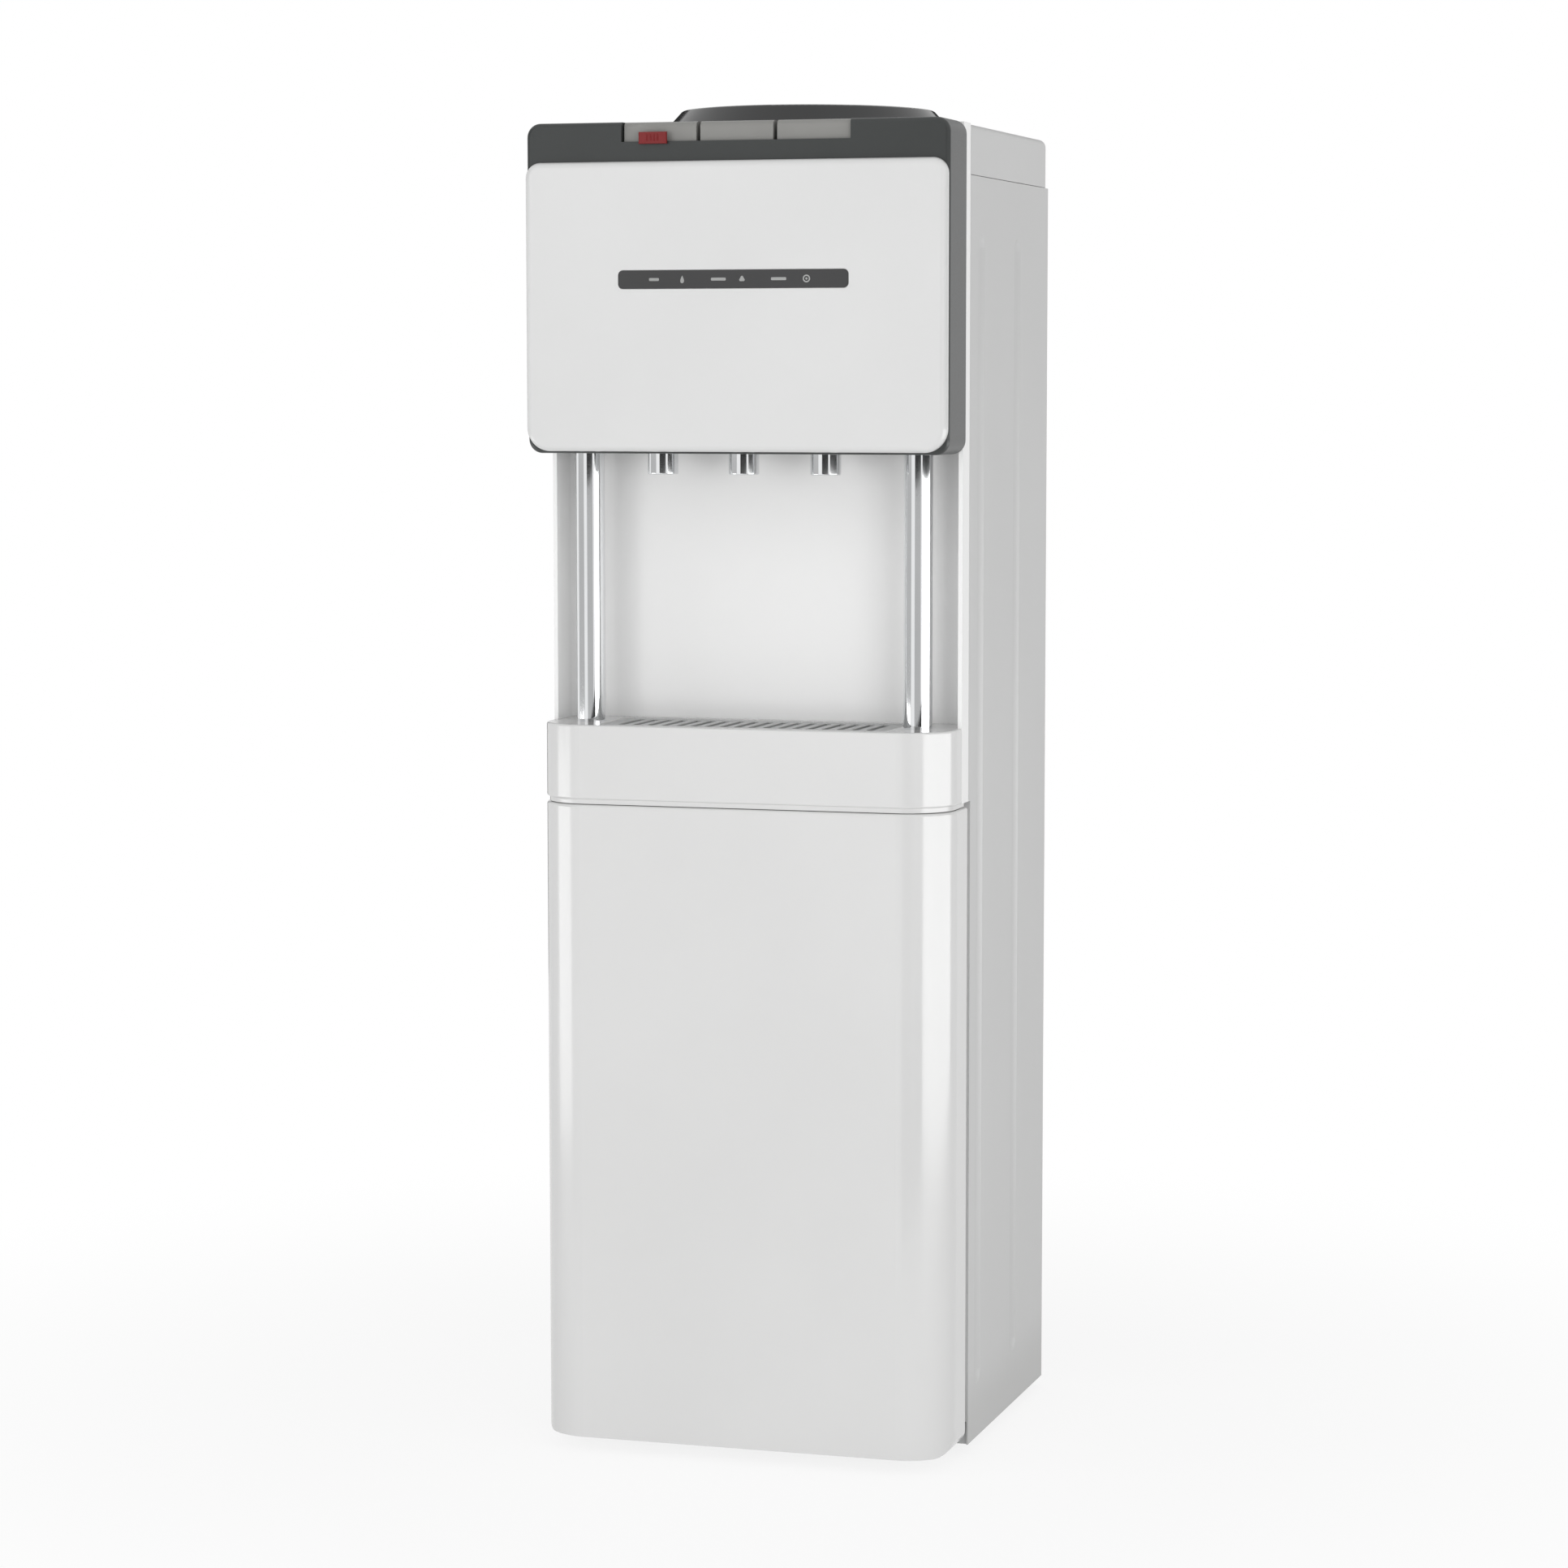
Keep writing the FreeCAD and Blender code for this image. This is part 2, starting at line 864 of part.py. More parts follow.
pin_hole = rod(
    "PinHole", size.hinge_pin + size.pin_clearance, "Z", (hinge_x, hinge_y), (band_low - 1, cavity_low + 1)
)
piece("tray_housing", cut("TrayHousing", housing_block, well, under_well, *end_cavities, pin_hole))

# Chromed columns that carry the front of the head
column_y = face + size.column_setback
column_profile = rectangle(
    (size.column_radius - size.column_wall, size.column_radius), (band_top, head_low)
)
columns = [
    turned(f"Column{index}", column_profile, side * size.column_spacing / 2, column_y)
    for index, side in enumerate((-1, 1))
]
piece("columns", group("Columns", *columns))

# Drip tray with four posts that carry its grille
grille_top = tray_top
grille_low = grille_top - size.grille_thick
tray_body = prism("TrayBody", "XY_Plane", rectangle(tray_x, tray_y, size.tray_corner), tray_low, tray_top)
tray_in_x = (tray_x[0] + size.tray_wall, tray_x[1] - size.tray_wall)
tray_in_y = (tray_y[0] + size.tray_wall, tray_y[1] - size.tray_wall)
carve(
    tray_body,
    "TrayHollow",
    "XY_Plane",
    rectangle(tray_in_x, tray_in_y, size.tray_corner - size.tray_wall),
    tray_low + size.tray_wall,
    tray_top,
)
tray_post = 2 * size.tray_corner
tray_posts = [
    box(f"TrayPost{ix}{iy}", x, y, (tray_low + size.tray_wall / 2, grille_low))
    for ix, x in enumerate(
        [(tray_in_x[0] + tray_post, tray_in_x[0] + tray_post + size.tray_wall),
         (tray_in_x[1] - tray_post - size.tray_wall, tray_in_x[1] - tray_post)]
    )
    for iy, y in enumerate(
        [(tray_in_y[0] - size.tray_wall / 2, tray_in_y[0] + size.tray_corner),
         (tray_in_y[1] - size.tray_corner, tray_in_y[1] + size.tray_wall / 2)]
    )
]
piece("drip_tray", fuse("DripTray", tray_body, *tray_posts))

# Slotted grille that drops into the tray
grille_x = (tray_in_x[0] + gap, tray_in_x[1] - gap)
grille_y = (tray_in_y[0] + gap, tray_in_y[1] - gap)
grille_plate = prism(
    "GrillePlate",
    "XY_Plane",
    rectangle(grille_x, grille_y, size.tray_corner - size.tray_wall - gap),
    grille_low,
    grille_top,
)
grille_run = number(grille_x[1] - grille_x[0] - 2 * size.grille_border)
slot_count = int((grille_run - number(size.grille_slot)) / number(size.grille_pitch)) + 1
slot_start = -(slot_count - 1) / 2 * size.grille_pitch
slots = [
    box(
        f"GrilleSlot{index}",
        (
            slot_start + index * size.grille_pitch - size.grille_slot / 2,
            slot_start + index * size.grille_pitch + size.grille_slot / 2,
        ),
        (grille_y[0] + size.grille_border, grille_y[1] - size.grille_border),
        (grille_low - 1, grille_top + 1),
    )
    for index in range(slot_count)
]
piece("drip_grille", cut("DripGrille", grille_plate, *slots))


# Dark head shell: open at the back, with the button recess, tap holes and light holes
shell_half = half_width + size.shell_overhang
shell_wall = size.shell_wall
recess_half = size.button_pitch + size.button_width / 2 + size.button_margin
recess_front = face + shell_wall
button_y = (recess_front + size.button_front_gap, recess_front + size.button_front_gap + size.button_length)
recess_back = button_y[1] + size.recess_rear_gap
lip_top = head_top - size.button_lip
axle_y = button_y[1] - size.axle_from_rear
button_top = head_top + size.button_proud
axle_z = button_top - size.axle_drop
shell_body = prism(
    "ShellBody",
    "XZ_Plane",
    rectangle((-shell_half, shell_half), (head_low, head_top), size.shell_corner),
    face,
    shell_back,
)
soften(shell_body, "ShellEdge", size.shell_edge, level("Y", face))
carve(
    shell_body,
    "ShellHollow",
    "XZ_Plane",
    rectangle(
        (shell_wall - shell_half, shell_half - shell_wall),
        (head_low + shell_wall, head_top - shell_wall),
        size.shell_corner - shell_wall,
    ),
    face + shell_wall,
    shell_back,
)
ceiling = box(
    "AlcoveCeiling",
    (gap - inner_half + size.alcove_corner, inner_half - gap - size.alcove_corner),
    (shell_back - 1, alcove_wall - gap),
    (head_low, head_low + shell_wall),
)
cheeks = [
    box(
        f"Cheek{index}",
        limits,
        (recess_front - 1, recess_back),
        (axle_z - size.axle_drop, head_top - shell_wall + 1),
    )
    for index, limits in enumerate(
        [(-recess_half - shell_wall, -recess_half), (recess_half, recess_half + shell_wall)]
    )
]
recess = box("ButtonRecess", (-recess_half, recess_half), (face - 1, recess_back), (lip_top, head_top + 1))
lens_xs = [size.lens_shift + step * size.lens_pitch for step in (-1, 0, 1)]
lens_z = head_low + size.strip_low + size.strip_height / 2
light_holes = [
    rod(f"LightHole{index}", size.lens_radius + gap, "Y", (x, lens_z), (face - 1, face + shell_wall + 1))
    for index, x in enumerate(lens_xs)
]
nozzle_holes = [
    rod(
        f"NozzleHole{name}",
        size.nozzle_radius + gap,
        "Z",
        (x, tap_y),
        (head_low - 1, head_low + shell_wall + 1),
    )
    for name, x in tap_xs.items()
]
axle_hole = rod(
    "AxleHole",
    size.axle_radius + size.pin_clearance,
    "X",
    (axle_y, axle_z),
    (-recess_half - shell_wall - 1, recess_half + shell_wall + 1),
)
shell_whole = fuse("ShellWhole", shell_body, ceiling, *cheeks)
piece("head_shell", cut("HeadShell", shell_whole, recess, axle_hole, *light_holes, *nozzle_holes))

# White panel on the head, with a bullnose rim, a sunk seat for the strip and three light holes
panel_half = shell_half - size.panel_inset
panel_low = head_low + size.panel_rise
panel_high = head_top - size.panel_drop
strip_x = (-size.strip_width / 2, size.strip_width / 2)
strip_z = (head_low + size.strip_low, head_low + size.strip_low + size.strip_height)
front_plate = prism(
    "FrontPlate",
    "XZ_Plane",
    [
        (-panel_half, panel_low, size.panel_low_corner),
        (panel_half, panel_low, size.panel_low_corner),
        (panel_half, panel_high, size.panel_top_corner),
        (-panel_half, panel_high, size.panel_top_corner),
    ],
    front,
    face,
)
soften(front_plate, "PanelEdge", size.panel_edge, level("Y", front))
rim = size.panel_edge + 1
carve(
    front_plate,
    "PanelHollow",
    "XZ_Plane",
    rectangle((rim - panel_half, panel_half - rim), (panel_low + rim, panel_high - rim), size.panel_edge),
    front + size.panel_face,
    face,
)
strip_seat = prism(
    "StripSeat",
    "XZ_Plane",
    rectangle(
        (strip_x[0] - gap, strip_x[1] + gap), (strip_z[0] - gap, strip_z[1] + gap), size.strip_corner + gap
    ),
    front - 1,
    front + size.strip_thickness,
)
window_holes = [
    rod(f"Window{index}", size.lens_radius + gap, "Y", (x, lens_z), (front - 1, face + 1))
    for index, x in enumerate(lens_xs)
]
piece("front_panel", cut("FrontPanel", front_plate, strip_seat, *window_holes))

# Smoked strip that covers the three lights, and the lights with their board behind it
piece(
    "indicator_strip",
    prism(
        "IndicatorStrip",
        "XZ_Plane",
        rectangle(strip_x, strip_z, size.strip_corner),
        front,
        front + size.strip_thickness,
    ),
)
board_y = face + shell_wall + gap
lenses = [
    rod(f"Lens{index}", size.lens_radius, "Y", (x, lens_z), (front + size.strip_thickness, board_y))
    for index, x in enumerate(lens_xs)
]
piece("indicator_lenses", group("IndicatorLenses", *lenses))
piece(
    "indicator_board",
    box(
        "IndicatorBoard",
        (lens_xs[0] - size.strip_height, lens_xs[2] + size.strip_height),
        (board_y, board_y + size.board_thickness),
        (strip_z[0] - size.strip_height, strip_z[1] + size.strip_height),
    ),
)

# Three rocking keys in the top edge of the head, each with a post over its push rod
button_low = lip_top - size.button_skirt
rod_top = button_low
button_in_top = button_top - size.button_wall
neck_z = (button_top - size.lock_top_drop - size.lock_neck, button_top - size.lock_top_drop)
lock_x0 = -size.button_pitch + size.lock_offset - size.lock_width / 2
stem_x = (lock_x0 + size.lock_stem_inset, lock_x0 + size.lock_stem_inset + size.lock_stem)


def button(label, centre, slotted):
    x = (centre - size.button_width / 2, centre + size.button_width / 2)
    key = box(label + "Key", x, button_y, (button_low, button_top))
    key = rounded(label + "Round", key, size.button_edge, level("Y", button_y[0]), level("Z", button_top))
    hollow = box(
        label + "Hollow",
        (x[0] + size.button_wall, x[1] - size.button_wall),
        (button_y[0] + size.button_wall, button_y[1] - size.button_wall),
        (button_low - 1, button_in_top),
    )
    post = rod(label + "Post", size.rod_head, "Z", (centre, tap_y), (rod_top, button_in_top + 0.5))
    tools = [
        rod(
            label + "Bore",
            size.axle_radius + size.pin_clearance,
            "X",
            (axle_y, axle_z),
            (x[0] - 1, x[1] + 1),
        )
    ]
    if slotted:
        tools.append(
            box(
                label + "Slot",
                (stem_x[0] - gap, stem_x[1] + size.lock_travel + gap),
                (button_y[0] - 1, button_y[0] + size.button_wall + 1),
                (neck_z[0] - gap, neck_z[1] + gap),
            )
        )
    return cut(label, fuse(label + "Solid", cut(label + "Shell", key, hollow), post), *tools)


piece("button_hot", button("ButtonHot", -size.button_pitch, True))
piece("button_ambient", button("ButtonAmbient", 0 * size.button_pitch, False))
piece("button_cold", button("ButtonCold", 1 * size.button_pitch, False))
piece(
    "button_axle",
    rod(
        "ButtonAxle",
        size.axle_radius,
        "X",
        (axle_y, axle_z),
        (-recess_half - shell_wall, recess_half + shell_wall),
    ),
)

# Red child lock: a plate in front of the hot key on a neck that slides along the key's slot. The
# plate hides the slot while the lock is on
lock_x = (lock_x0, lock_x0 + size.lock_width)
lock_front = face - size.lock_proud
lock_back = face - size.lock_clear
lock_plate = rounded(
    "LockPlate",
    box("LockBlock", lock_x, (lock_front, lock_back), (neck_z[1] - size.lock_height, neck_z[1])),
    0.8,
    level("Y", lock_front),
)
lock_neck = box("LockNeck", stem_x, (lock_back - 0.5, button_y[0] + size.button_wall + gap), neck_z)
lock_keeper = box(
    "LockKeeper",
    (lock_x[0] + 2, lock_x[1] - 2),
    (button_y[0] + size.button_wall + gap, button_y[0] + size.button_wall + gap + size.lock_thickness),
    (neck_z[0] - size.lock_thickness, neck_z[1] + 0.5),
)
piece("child_lock_slider", fuse("ChildLock", lock_plate, lock_neck, lock_keeper))

# Taps: a moulded valve body inside the head over a chromed nozzle
flange_low = head_low + shell_wall
flange_top = flange_low + size.tap_flange_thick
tap_high = flange_low + size.tap_height
valve_floor = flange_low + size.valve_floor
plate_low = valve_floor + size.valve_rise - size.valve_plate
plate_high = valve_floor + size.valve_rise
cap_low = tap_high - size.valve_plate


def tap_body(name, x):
    outside = fuse(
        f"Tap{name}Outside",
        rod(f"Tap{name}Barrel", size.tap_radius, "Z", (x, tap_y), (flange_low, tap_high)),
        rod(f"Tap{name}Flange", size.tap_flange, "Z", (x, tap_y), (flange_low, flange_top)),
        rod(f"Tap{name}Spigot", size.inlet_radius, "Y", (x, inlet_z), (tap_y, tap_y + size.inlet_length)),
    )
    return cut(
        f"Tap{name}",
        outside,
        rod(f"Tap{name}Outlet", size.nozzle_bore, "Z", (x, tap_y), (flange_low - 1, valve_floor - 2)),
        rod(f"Tap{name}Seat", size.orifice, "Z", (x, tap_y), (valve_floor - 3, valve_floor + 1)),
        rod(f"Tap{name}Lower", size.tap_chamber, "Z", (x, tap_y), (valve_floor, plate_low)),
        rod(f"Tap{name}Orifice", size.orifice, "Z", (x, tap_y), (plate_low - 1, plate_high + 1)),
        rod(f"Tap{name}Upper", size.tap_chamber, "Z", (x, tap_y), (plate_high, cap_low)),
        rod(f"Tap{name}Gland", size.rod_radius + gap, "Z", (x, tap_y), (cap_low - 1, tap_high + 1)),
        rod(f"Tap{name}Inlet", size.inlet_bore, "Y", (x, inlet_z), (tap_y, tap_y + size.inlet_length + 1)),
    )


piece("tap_bodies", group("TapBodies", *[tap_body(name, x) for name, x in tap_xs.items()]))
nozzle_profile = [
    (size.nozzle_bore, head_low - size.nozzle_drop),
    (size.nozzle_radius, head_low - size.nozzle_drop, 1),
    (size.nozzle_radius, flange_low),
    (size.nozzle_bore, flange_low),
]
nozzles = [turned(f"Nozzle{name}", nozzle_profile, x, tap_y) for name, x in tap_xs.items()]
piece("tap_nozzles", group("TapNozzles", *nozzles))

# Push rods with their valve discs, and the springs that hold them shut
disc_top = plate_low - gap
disc_low = disc_top - size.poppet_thick
rod_profile = [
    (0, disc_low),
    (size.poppet_radius, disc_low),
    (size.poppet_radius, disc_top),
    (size.rod_radius, disc_top),
    (size.rod_radius, rod_top - size.rod_gap - size.rod_head),
    (size.rod_head, rod_top - size.rod_gap - size.rod_head),
    (size.rod_head, rod_top - size.rod_gap, 1),
    (0, rod_top - size.rod_gap),
]
spring_low = valve_floor + size.spring_wire + 0.1
spring_height = disc_low - size.spring_wire - 0.1 - spring_low
for name, x in tap_xs.items():
    piece(f"push_rod_{name}", turned(f"PushRod{name}", rod_profile, x, tap_y))
for name, x in tap_xs.items():
    coil_radius = number(size.poppet_radius - 2 * size.spring_wire)
    helix = Part.makeHelix(
        number(spring_height) / number(size.spring_turns), number(spring_height), coil_radius
    )
    ring = Part.Wire(
        Part.makeCircle(
            number(size.spring_wire), FreeCAD.Vector(coil_radius, 0, 0), FreeCAD.Vector(0, 1, 0)
        )
    )
    spring = shaped(f"Spring{name}", Part.Wire(helix).makePipeShell([ring], True, True))
    spring.Placement = FreeCAD.Placement()
    place(spring, x, tap_y, spring_low)
    piece(f"valve_spring_{name}", spring)

# The tanks stand on one upright line, in the middle of the foam between hoses and rear panel
rear_back = rear_plane + size.sheet
hose_y = frame_back + size.hose_radius + size.hose_clear
foam_y = (hose_y + size.hose_radius + size.foam_clear, rear_plane - size.foam_rear_gap)
foam_half = (foam_y[1] - foam_y[0]) / 2
seat_y = (foam_y[0] + foam_y[1]) / 2
cold_radius = foam_half - size.foam_wall

# Top cover with a rounded rim and the hole for the bottle seat
cover_front = strip_back + size.seam
cover_plan = [
    (-half_width, cover_front),
    (half_width, cover_front),
    (half_width, back, size.cover_corner),
    (-half_width, back, size.cover_corner),
]
cover_body = prism("CoverBody", "XY_Plane", cover_plan, skirt_low, cover_top)
soften(
    cover_body,
    "CoverEdge",
    size.cover_edge,
    level("Z", cover_top),
    lambda edge: edge.BoundBox.YMax > number(cover_front) + 1,
)
carve(
    cover_body,
    "CoverHollow",
    "XY_Plane",
    rectangle(
        (size.wall - half_width, half_width - size.wall),
        (cover_front + size.wall, back - size.wall),
        size.cover_corner - size.wall,
    ),
    skirt_low - 1,
    cover_top - size.wall,
)
cover_hole = rod("CoverHole", size.cover_hole, "Z", (0, seat_y), (cover_top - 10, cover_top + 1))
piece("top_cover", cut("TopCover", cover_body, cover_hole))

# Dark seat for the bottle: a sloped ring outside and a funnel inside, one thin wall
collar_high = cover_top + size.collar_rise
collar_skin = size.collar_wall
neck_top = cover_top - size.collar_depth
neck_low = neck_top - size.collar_tube
collar_profile = [
    (size.collar_radius, cover_top),
    (size.collar_radius, cover_top + size.collar_step, size.collar_foot_edge),
    (size.collar_top, collar_high, size.collar_outer_edge),
    (size.collar_mouth, collar_high, size.collar_inner_edge),
    (size.collar_neck, neck_top),
    (size.collar_neck, neck_low + collar_skin),
    (size.collar_neck - size.collar_lip, neck_low + collar_skin),
    (size.collar_neck - size.collar_lip, neck_low),
    (size.collar_neck + collar_skin, neck_low),
    (size.collar_neck + collar_skin, neck_top - 1),
    (size.collar_mouth + collar_skin / 2, collar_high - collar_skin),
    (size.collar_top - collar_skin / 2, collar_high - collar_skin),
    (size.collar_radius - collar_skin, cover_top + size.collar_step - 1),
    (size.collar_radius - collar_skin, cover_top),
]
piece("bottle_collar", turned("BottleCollar", collar_profile, 0, seat_y))

# Water guard: the hub that pierces the bottle cap and feeds the tank
guard_low = neck_low + collar_skin
guard_profile = [
    (0, guard_low - size.guard_drop),
    (size.guard_tube, guard_low - size.guard_drop),
    (size.guard_tube, guard_low),
    (size.collar_neck - gap, guard_low),
    (size.collar_neck - gap, guard_low + collar_skin),
    (size.guard_probe, guard_low + collar_skin),
    (size.guard_probe, guard_low + size.guard_rise, 5),
    (0, guard_low + size.guard_rise),
]
piece("water_guard", turned("WaterGuard", guard_profile, 0, seat_y))

# Cold tank of thin steel with a rolled top that the feed tube passes through
cold_high = neck_low - size.cold_drop
cold_low = cold_high - size.cold_height
tank_in = size.tank_wall
cold_profile = [
    (0, cold_low),
    (cold_radius, cold_low, size.tank_corner),
    (cold_radius, cold_high, size.tank_corner),
    (size.guard_tube + 2, cold_high),
    (size.guard_tube + 2, cold_high - tank_in),
    (cold_radius - tank_in, cold_high - tank_in, size.tank_corner - tank_in),
    (cold_radius - tank_in, cold_low + tank_in, size.tank_corner - tank_in),
    (0, cold_low + tank_in),
]
hose_end_x = cold_radius / 3
hose_bore = size.hose_radius - size.hose_wall
piece("cold_tank", turned("ColdTank", cold_profile, 0, seat_y))

# Evaporator tube wound round the cold tank
coil_radius = cold_radius + size.coil_wire + gap
coil_low = cold_low + 3 * size.coil_wire
coil_helix = Part.makeHelix(
    number(size.coil_pitch), number(size.coil_pitch * size.coil_turns), number(coil_radius)
)
coil_ring = Part.Wire(
    Part.makeCircle(
        number(size.coil_wire), FreeCAD.Vector(number(coil_radius), 0, 0), FreeCAD.Vector(0, 1, 0)
    )
)
coil = shaped("EvaporatorCoil", Part.Wire(coil_helix).makePipeShell([coil_ring], True, True))
coil.Placement = FreeCAD.Placement()
place(coil, 0, seat_y, coil_low)
piece("evaporator_coil", coil)

# Foam jacket round the cold tank, open at the top
foam_low = cold_low - 2 * size.foam_corner
foam_plan = rectangle(
    (-foam_half, foam_half), foam_y, size.foam_corner
)
foam_block = prism("FoamBlock", "XY_Plane", foam_plan, foam_low, foam_low + size.foam_height)
foam_bore = rod(
    "FoamBore",
    coil_radius + size.coil_wire + gap,
    "Z",
    (0, seat_y),
    (cold_low, foam_low + size.foam_height + 1),
)
cold_z = cold_low + 2 * size.hose_bend
ambient_z = cold_high - 3 * size.hose_bend
foam_ports = [
    rod("FoamPortAmbient", size.hose_radius + 1, "Y", (0, ambient_z), (foam_y[0] - 1, seat_y)),
    rod("FoamPortCold", size.hose_radius + 1, "Y", (hose_end_x, cold_z), (foam_y[0] - 1, seat_y)),
]
piece("foam_jacket", cut("FoamJacket", foam_block, foam_bore, *foam_ports))

# Two folded shelves that carry the tanks between the side panels
shelf_low = band_low + size.sheet
shelf_front = hose_y + size.hose_radius + size.hose_clear
shelf_back = foam_y[1] - 4


def shelf(label, low):
    top = low + size.shelf_sheet
    tabs = (seat_y - size.shelf_tab_front, seat_y - size.shelf_tab_back)
    return fuse(
        label,
        box(
            label + "Plate",
            (size.flange - half_width, half_width - size.flange),
            (shelf_front, shelf_back),
            (low, top),
        ),
        box(label + "Tabs", (-side_inner, side_inner), tabs, (low, top)),
        box(label + "LeftFold", (-side_inner, size.sheet - side_inner), tabs, (low, low + size.shelf_flange)),
        box(label + "RightFold", (side_inner - size.sheet, side_inner), tabs, (low, low + size.shelf_flange)),
    )


upper_shelf_low = foam_low - size.shelf_sheet
piece("tank_shelves", group("TankShelves", shelf("LowerShelf", shelf_low), shelf("UpperShelf", upper_shelf_low)))

# Hot tank on a short stand, with its heater band and two snap thermostats
hot_low = shelf_low + size.shelf_sheet
hot_floor = hot_low + size.hot_stand
hot_high = hot_floor + size.hot_height
stand_radius = size.hot_radius - size.hot_stand_inset
hot_profile = [
    (stand_radius - size.hot_stand_sheet, hot_low),
    (stand_radius, hot_low),
    (stand_radius, hot_floor),
    (size.hot_radius, hot_floor, size.hot_corner),
    (size.hot_radius, hot_high, size.hot_corner),
    (0, hot_high),
    (0, hot_high - tank_in),
    (size.hot_radius - tank_in, hot_high - tank_in, size.hot_corner - tank_in),
    (size.hot_radius - tank_in, hot_floor + tank_in, size.hot_corner - tank_in),
    (0, hot_floor + tank_in),
    (0, hot_floor),
    (stand_radius - size.hot_stand_sheet, hot_floor),
]
piece("hot_tank", turned("HotTank", hot_profile, 0, seat_y))
heater_low = hot_floor + size.hot_height / 3
piece(
    "heater_band",
    turned(
        "HeaterBand",
        rectangle(
            (size.hot_radius + gap, size.hot_radius + gap + size.heater_thick),
            (heater_low, heater_low + size.heater_width),
        ),
        0,
        seat_y,
    ),
)
thermostats = [
    rod(
        f"Thermostat{index}",
        size.thermostat_radius,
        "X",
        (seat_y, hot_floor + size.hot_height * share),
        (size.hot_radius + gap, size.hot_radius + gap + size.thermostat_thick),
    )
    for index, share in enumerate((0.68, 0.86))
]
piece("thermostats", group("Thermostats", *thermostats))

# Silicone hoses from the tanks to the taps, and from the hot tank to the drain
inlet_y = tap_y + size.inlet_length
hot_port_z = hot_high - 4 * size.hose_bend
hot_x = -size.hot_radius / 2
drain_x = half_width - size.drain_inset
drain_z = hot_floor + size.drain_rise


def tank_face(radius, x):
    """Where a hose at sideways place x meets the front of a round tank."""
    side = abs(number(x)) - number(size.hose_radius)
    return number(seat_y) - math.sqrt(number(radius) ** 2 - side**2) - number(gap)


hoses = [
    [
        (tap_xs["hot"], inlet_y, inlet_z),
        (tap_xs["hot"], hose_y, inlet_z),
        (tap_xs["hot"], hose_y, hot_port_z),
        (hot_x, hose_y, hot_port_z),
        (hot_x, tank_face(size.hot_radius, hot_x), hot_port_z),
    ],
    [
        (tap_xs["ambient"], inlet_y, inlet_z),
        (tap_xs["ambient"], hose_y, inlet_z),
        (tap_xs["ambient"], hose_y, ambient_z),
        (tap_xs["ambient"], seat_y - cold_radius - gap, ambient_z),
    ],
    [
        (tap_xs["cold"], inlet_y, inlet_z),
        (tap_xs["cold"], hose_y, inlet_z),
        (tap_xs["cold"], hose_y, cold_z),
        (hose_end_x, hose_y, cold_z),
        (hose_end_x, tank_face(cold_radius, hose_end_x), cold_z),
    ],
    [
        (size.hot_radius + gap, seat_y, drain_z),
        (drain_x, seat_y, drain_z),
        (drain_x, rear_plane, drain_z),
    ],
]
hose_solids = [
    shaped(f"Hose{index}", tube_shape(points, size.hose_radius, size.hose_bend, hose_bore))
    for index, points in enumerate(hoses)
]
piece("water_hoses", group("WaterHoses", *hose_solids))

# Hermetic compressor on a foot plate, with the rubber mounts under it
mount_top = pan_top + size.mount_height
comp_low = mount_top + size.foot_plate
comp_high = comp_low + size.compressor_height
comp_x = -size.compressor_left
comp_y = back - size.compressor_rear
dome = size.compressor_radius
compressor_shell = turned(
    "CompressorShell",
    [
        (0, mount_top + 1),
        (dome - 6, mount_top + 1, 4),
        (dome, comp_low + size.compressor_foot),
        (dome, comp_high - size.compressor_shoulder, 20),
        (dome - size.compressor_dome, comp_high, 12),
        (0, comp_high),
    ],
    comp_x,
    comp_y,
)
mount_xs = (comp_x - size.mount_spacing_x / 2, comp_x + size.mount_spacing_x / 2)
mount_ys = (comp_y - size.mount_spacing_y / 2, comp_y + size.mount_spacing_y / 2)
plate_margin = size.mount_radius + 1
foot_plate = box(
    "CompressorPlate",
    (mount_xs[0] - plate_margin, mount_xs[1] + plate_margin),
    (mount_ys[0] - plate_margin, mount_ys[1] + plate_margin),
    (mount_top, comp_low),
)
piece("compressor", fuse("Compressor", compressor_shell, foot_plate))
mounts = [
    rod(f"Mount{ix}{iy}", size.mount_radius, "Z", (x, y), (pan_top, mount_top))
    for ix, x in enumerate(mount_xs)
    for iy, y in enumerate(mount_ys)
]
piece("compressor_mounts", group("CompressorMounts", *mounts))

# Rear panel, folded outwards at its foot into the roof of the machine space
roof_low = comp_high + size.roof_clear
roof_back = back - 2 * size.sheet
pipe_hole = gap + size.pipe_radius
condenser_low = roof_low + size.condenser_rise
rear_sheet = prism(
    "RearSheet",
    "YZ_Plane",
    [
        (rear_plane, roof_low),
        (roof_back, roof_low),
        (roof_back, roof_low + size.sheet),
        (rear_back, roof_low + size.sheet),
        (rear_back, skirt_low - size.seam),
        (rear_plane, skirt_low - size.seam),
    ],
    -side_inner,
    side_inner,
)
condenser_half = size.condenser_width / 2
condenser_y = rear_back + size.condenser_off
pipe_y = rear_plane - 3 * size.pipe_radius
riser_x = condenser_half + 3 * size.pipe_radius
drier_x = -riser_x - size.drier_radius
drier_high = condenser_low + size.condenser_pitch * (size.condenser_runs - 1) / 2
drier_low = drier_high - size.drier_length
capillary_z = drier_low - 3 * size.pipe_bend
bezel_centre = half_width - size.bezel_inset
bezel_x = (bezel_centre - size.bezel_width / 2, bezel_centre + size.bezel_width / 2)
bezel_high = cover_top - size.skirt_height - size.bezel_drop / 2
bezel_z = (bezel_high - size.bezel_height, bezel_high)
rocker_z = (bezel_z[0] + bezel_z[1]) / 2
knob_z = rocker_z
knob_x = size.knob_inset - half_width
screw_x = side_inner - size.flange / 2
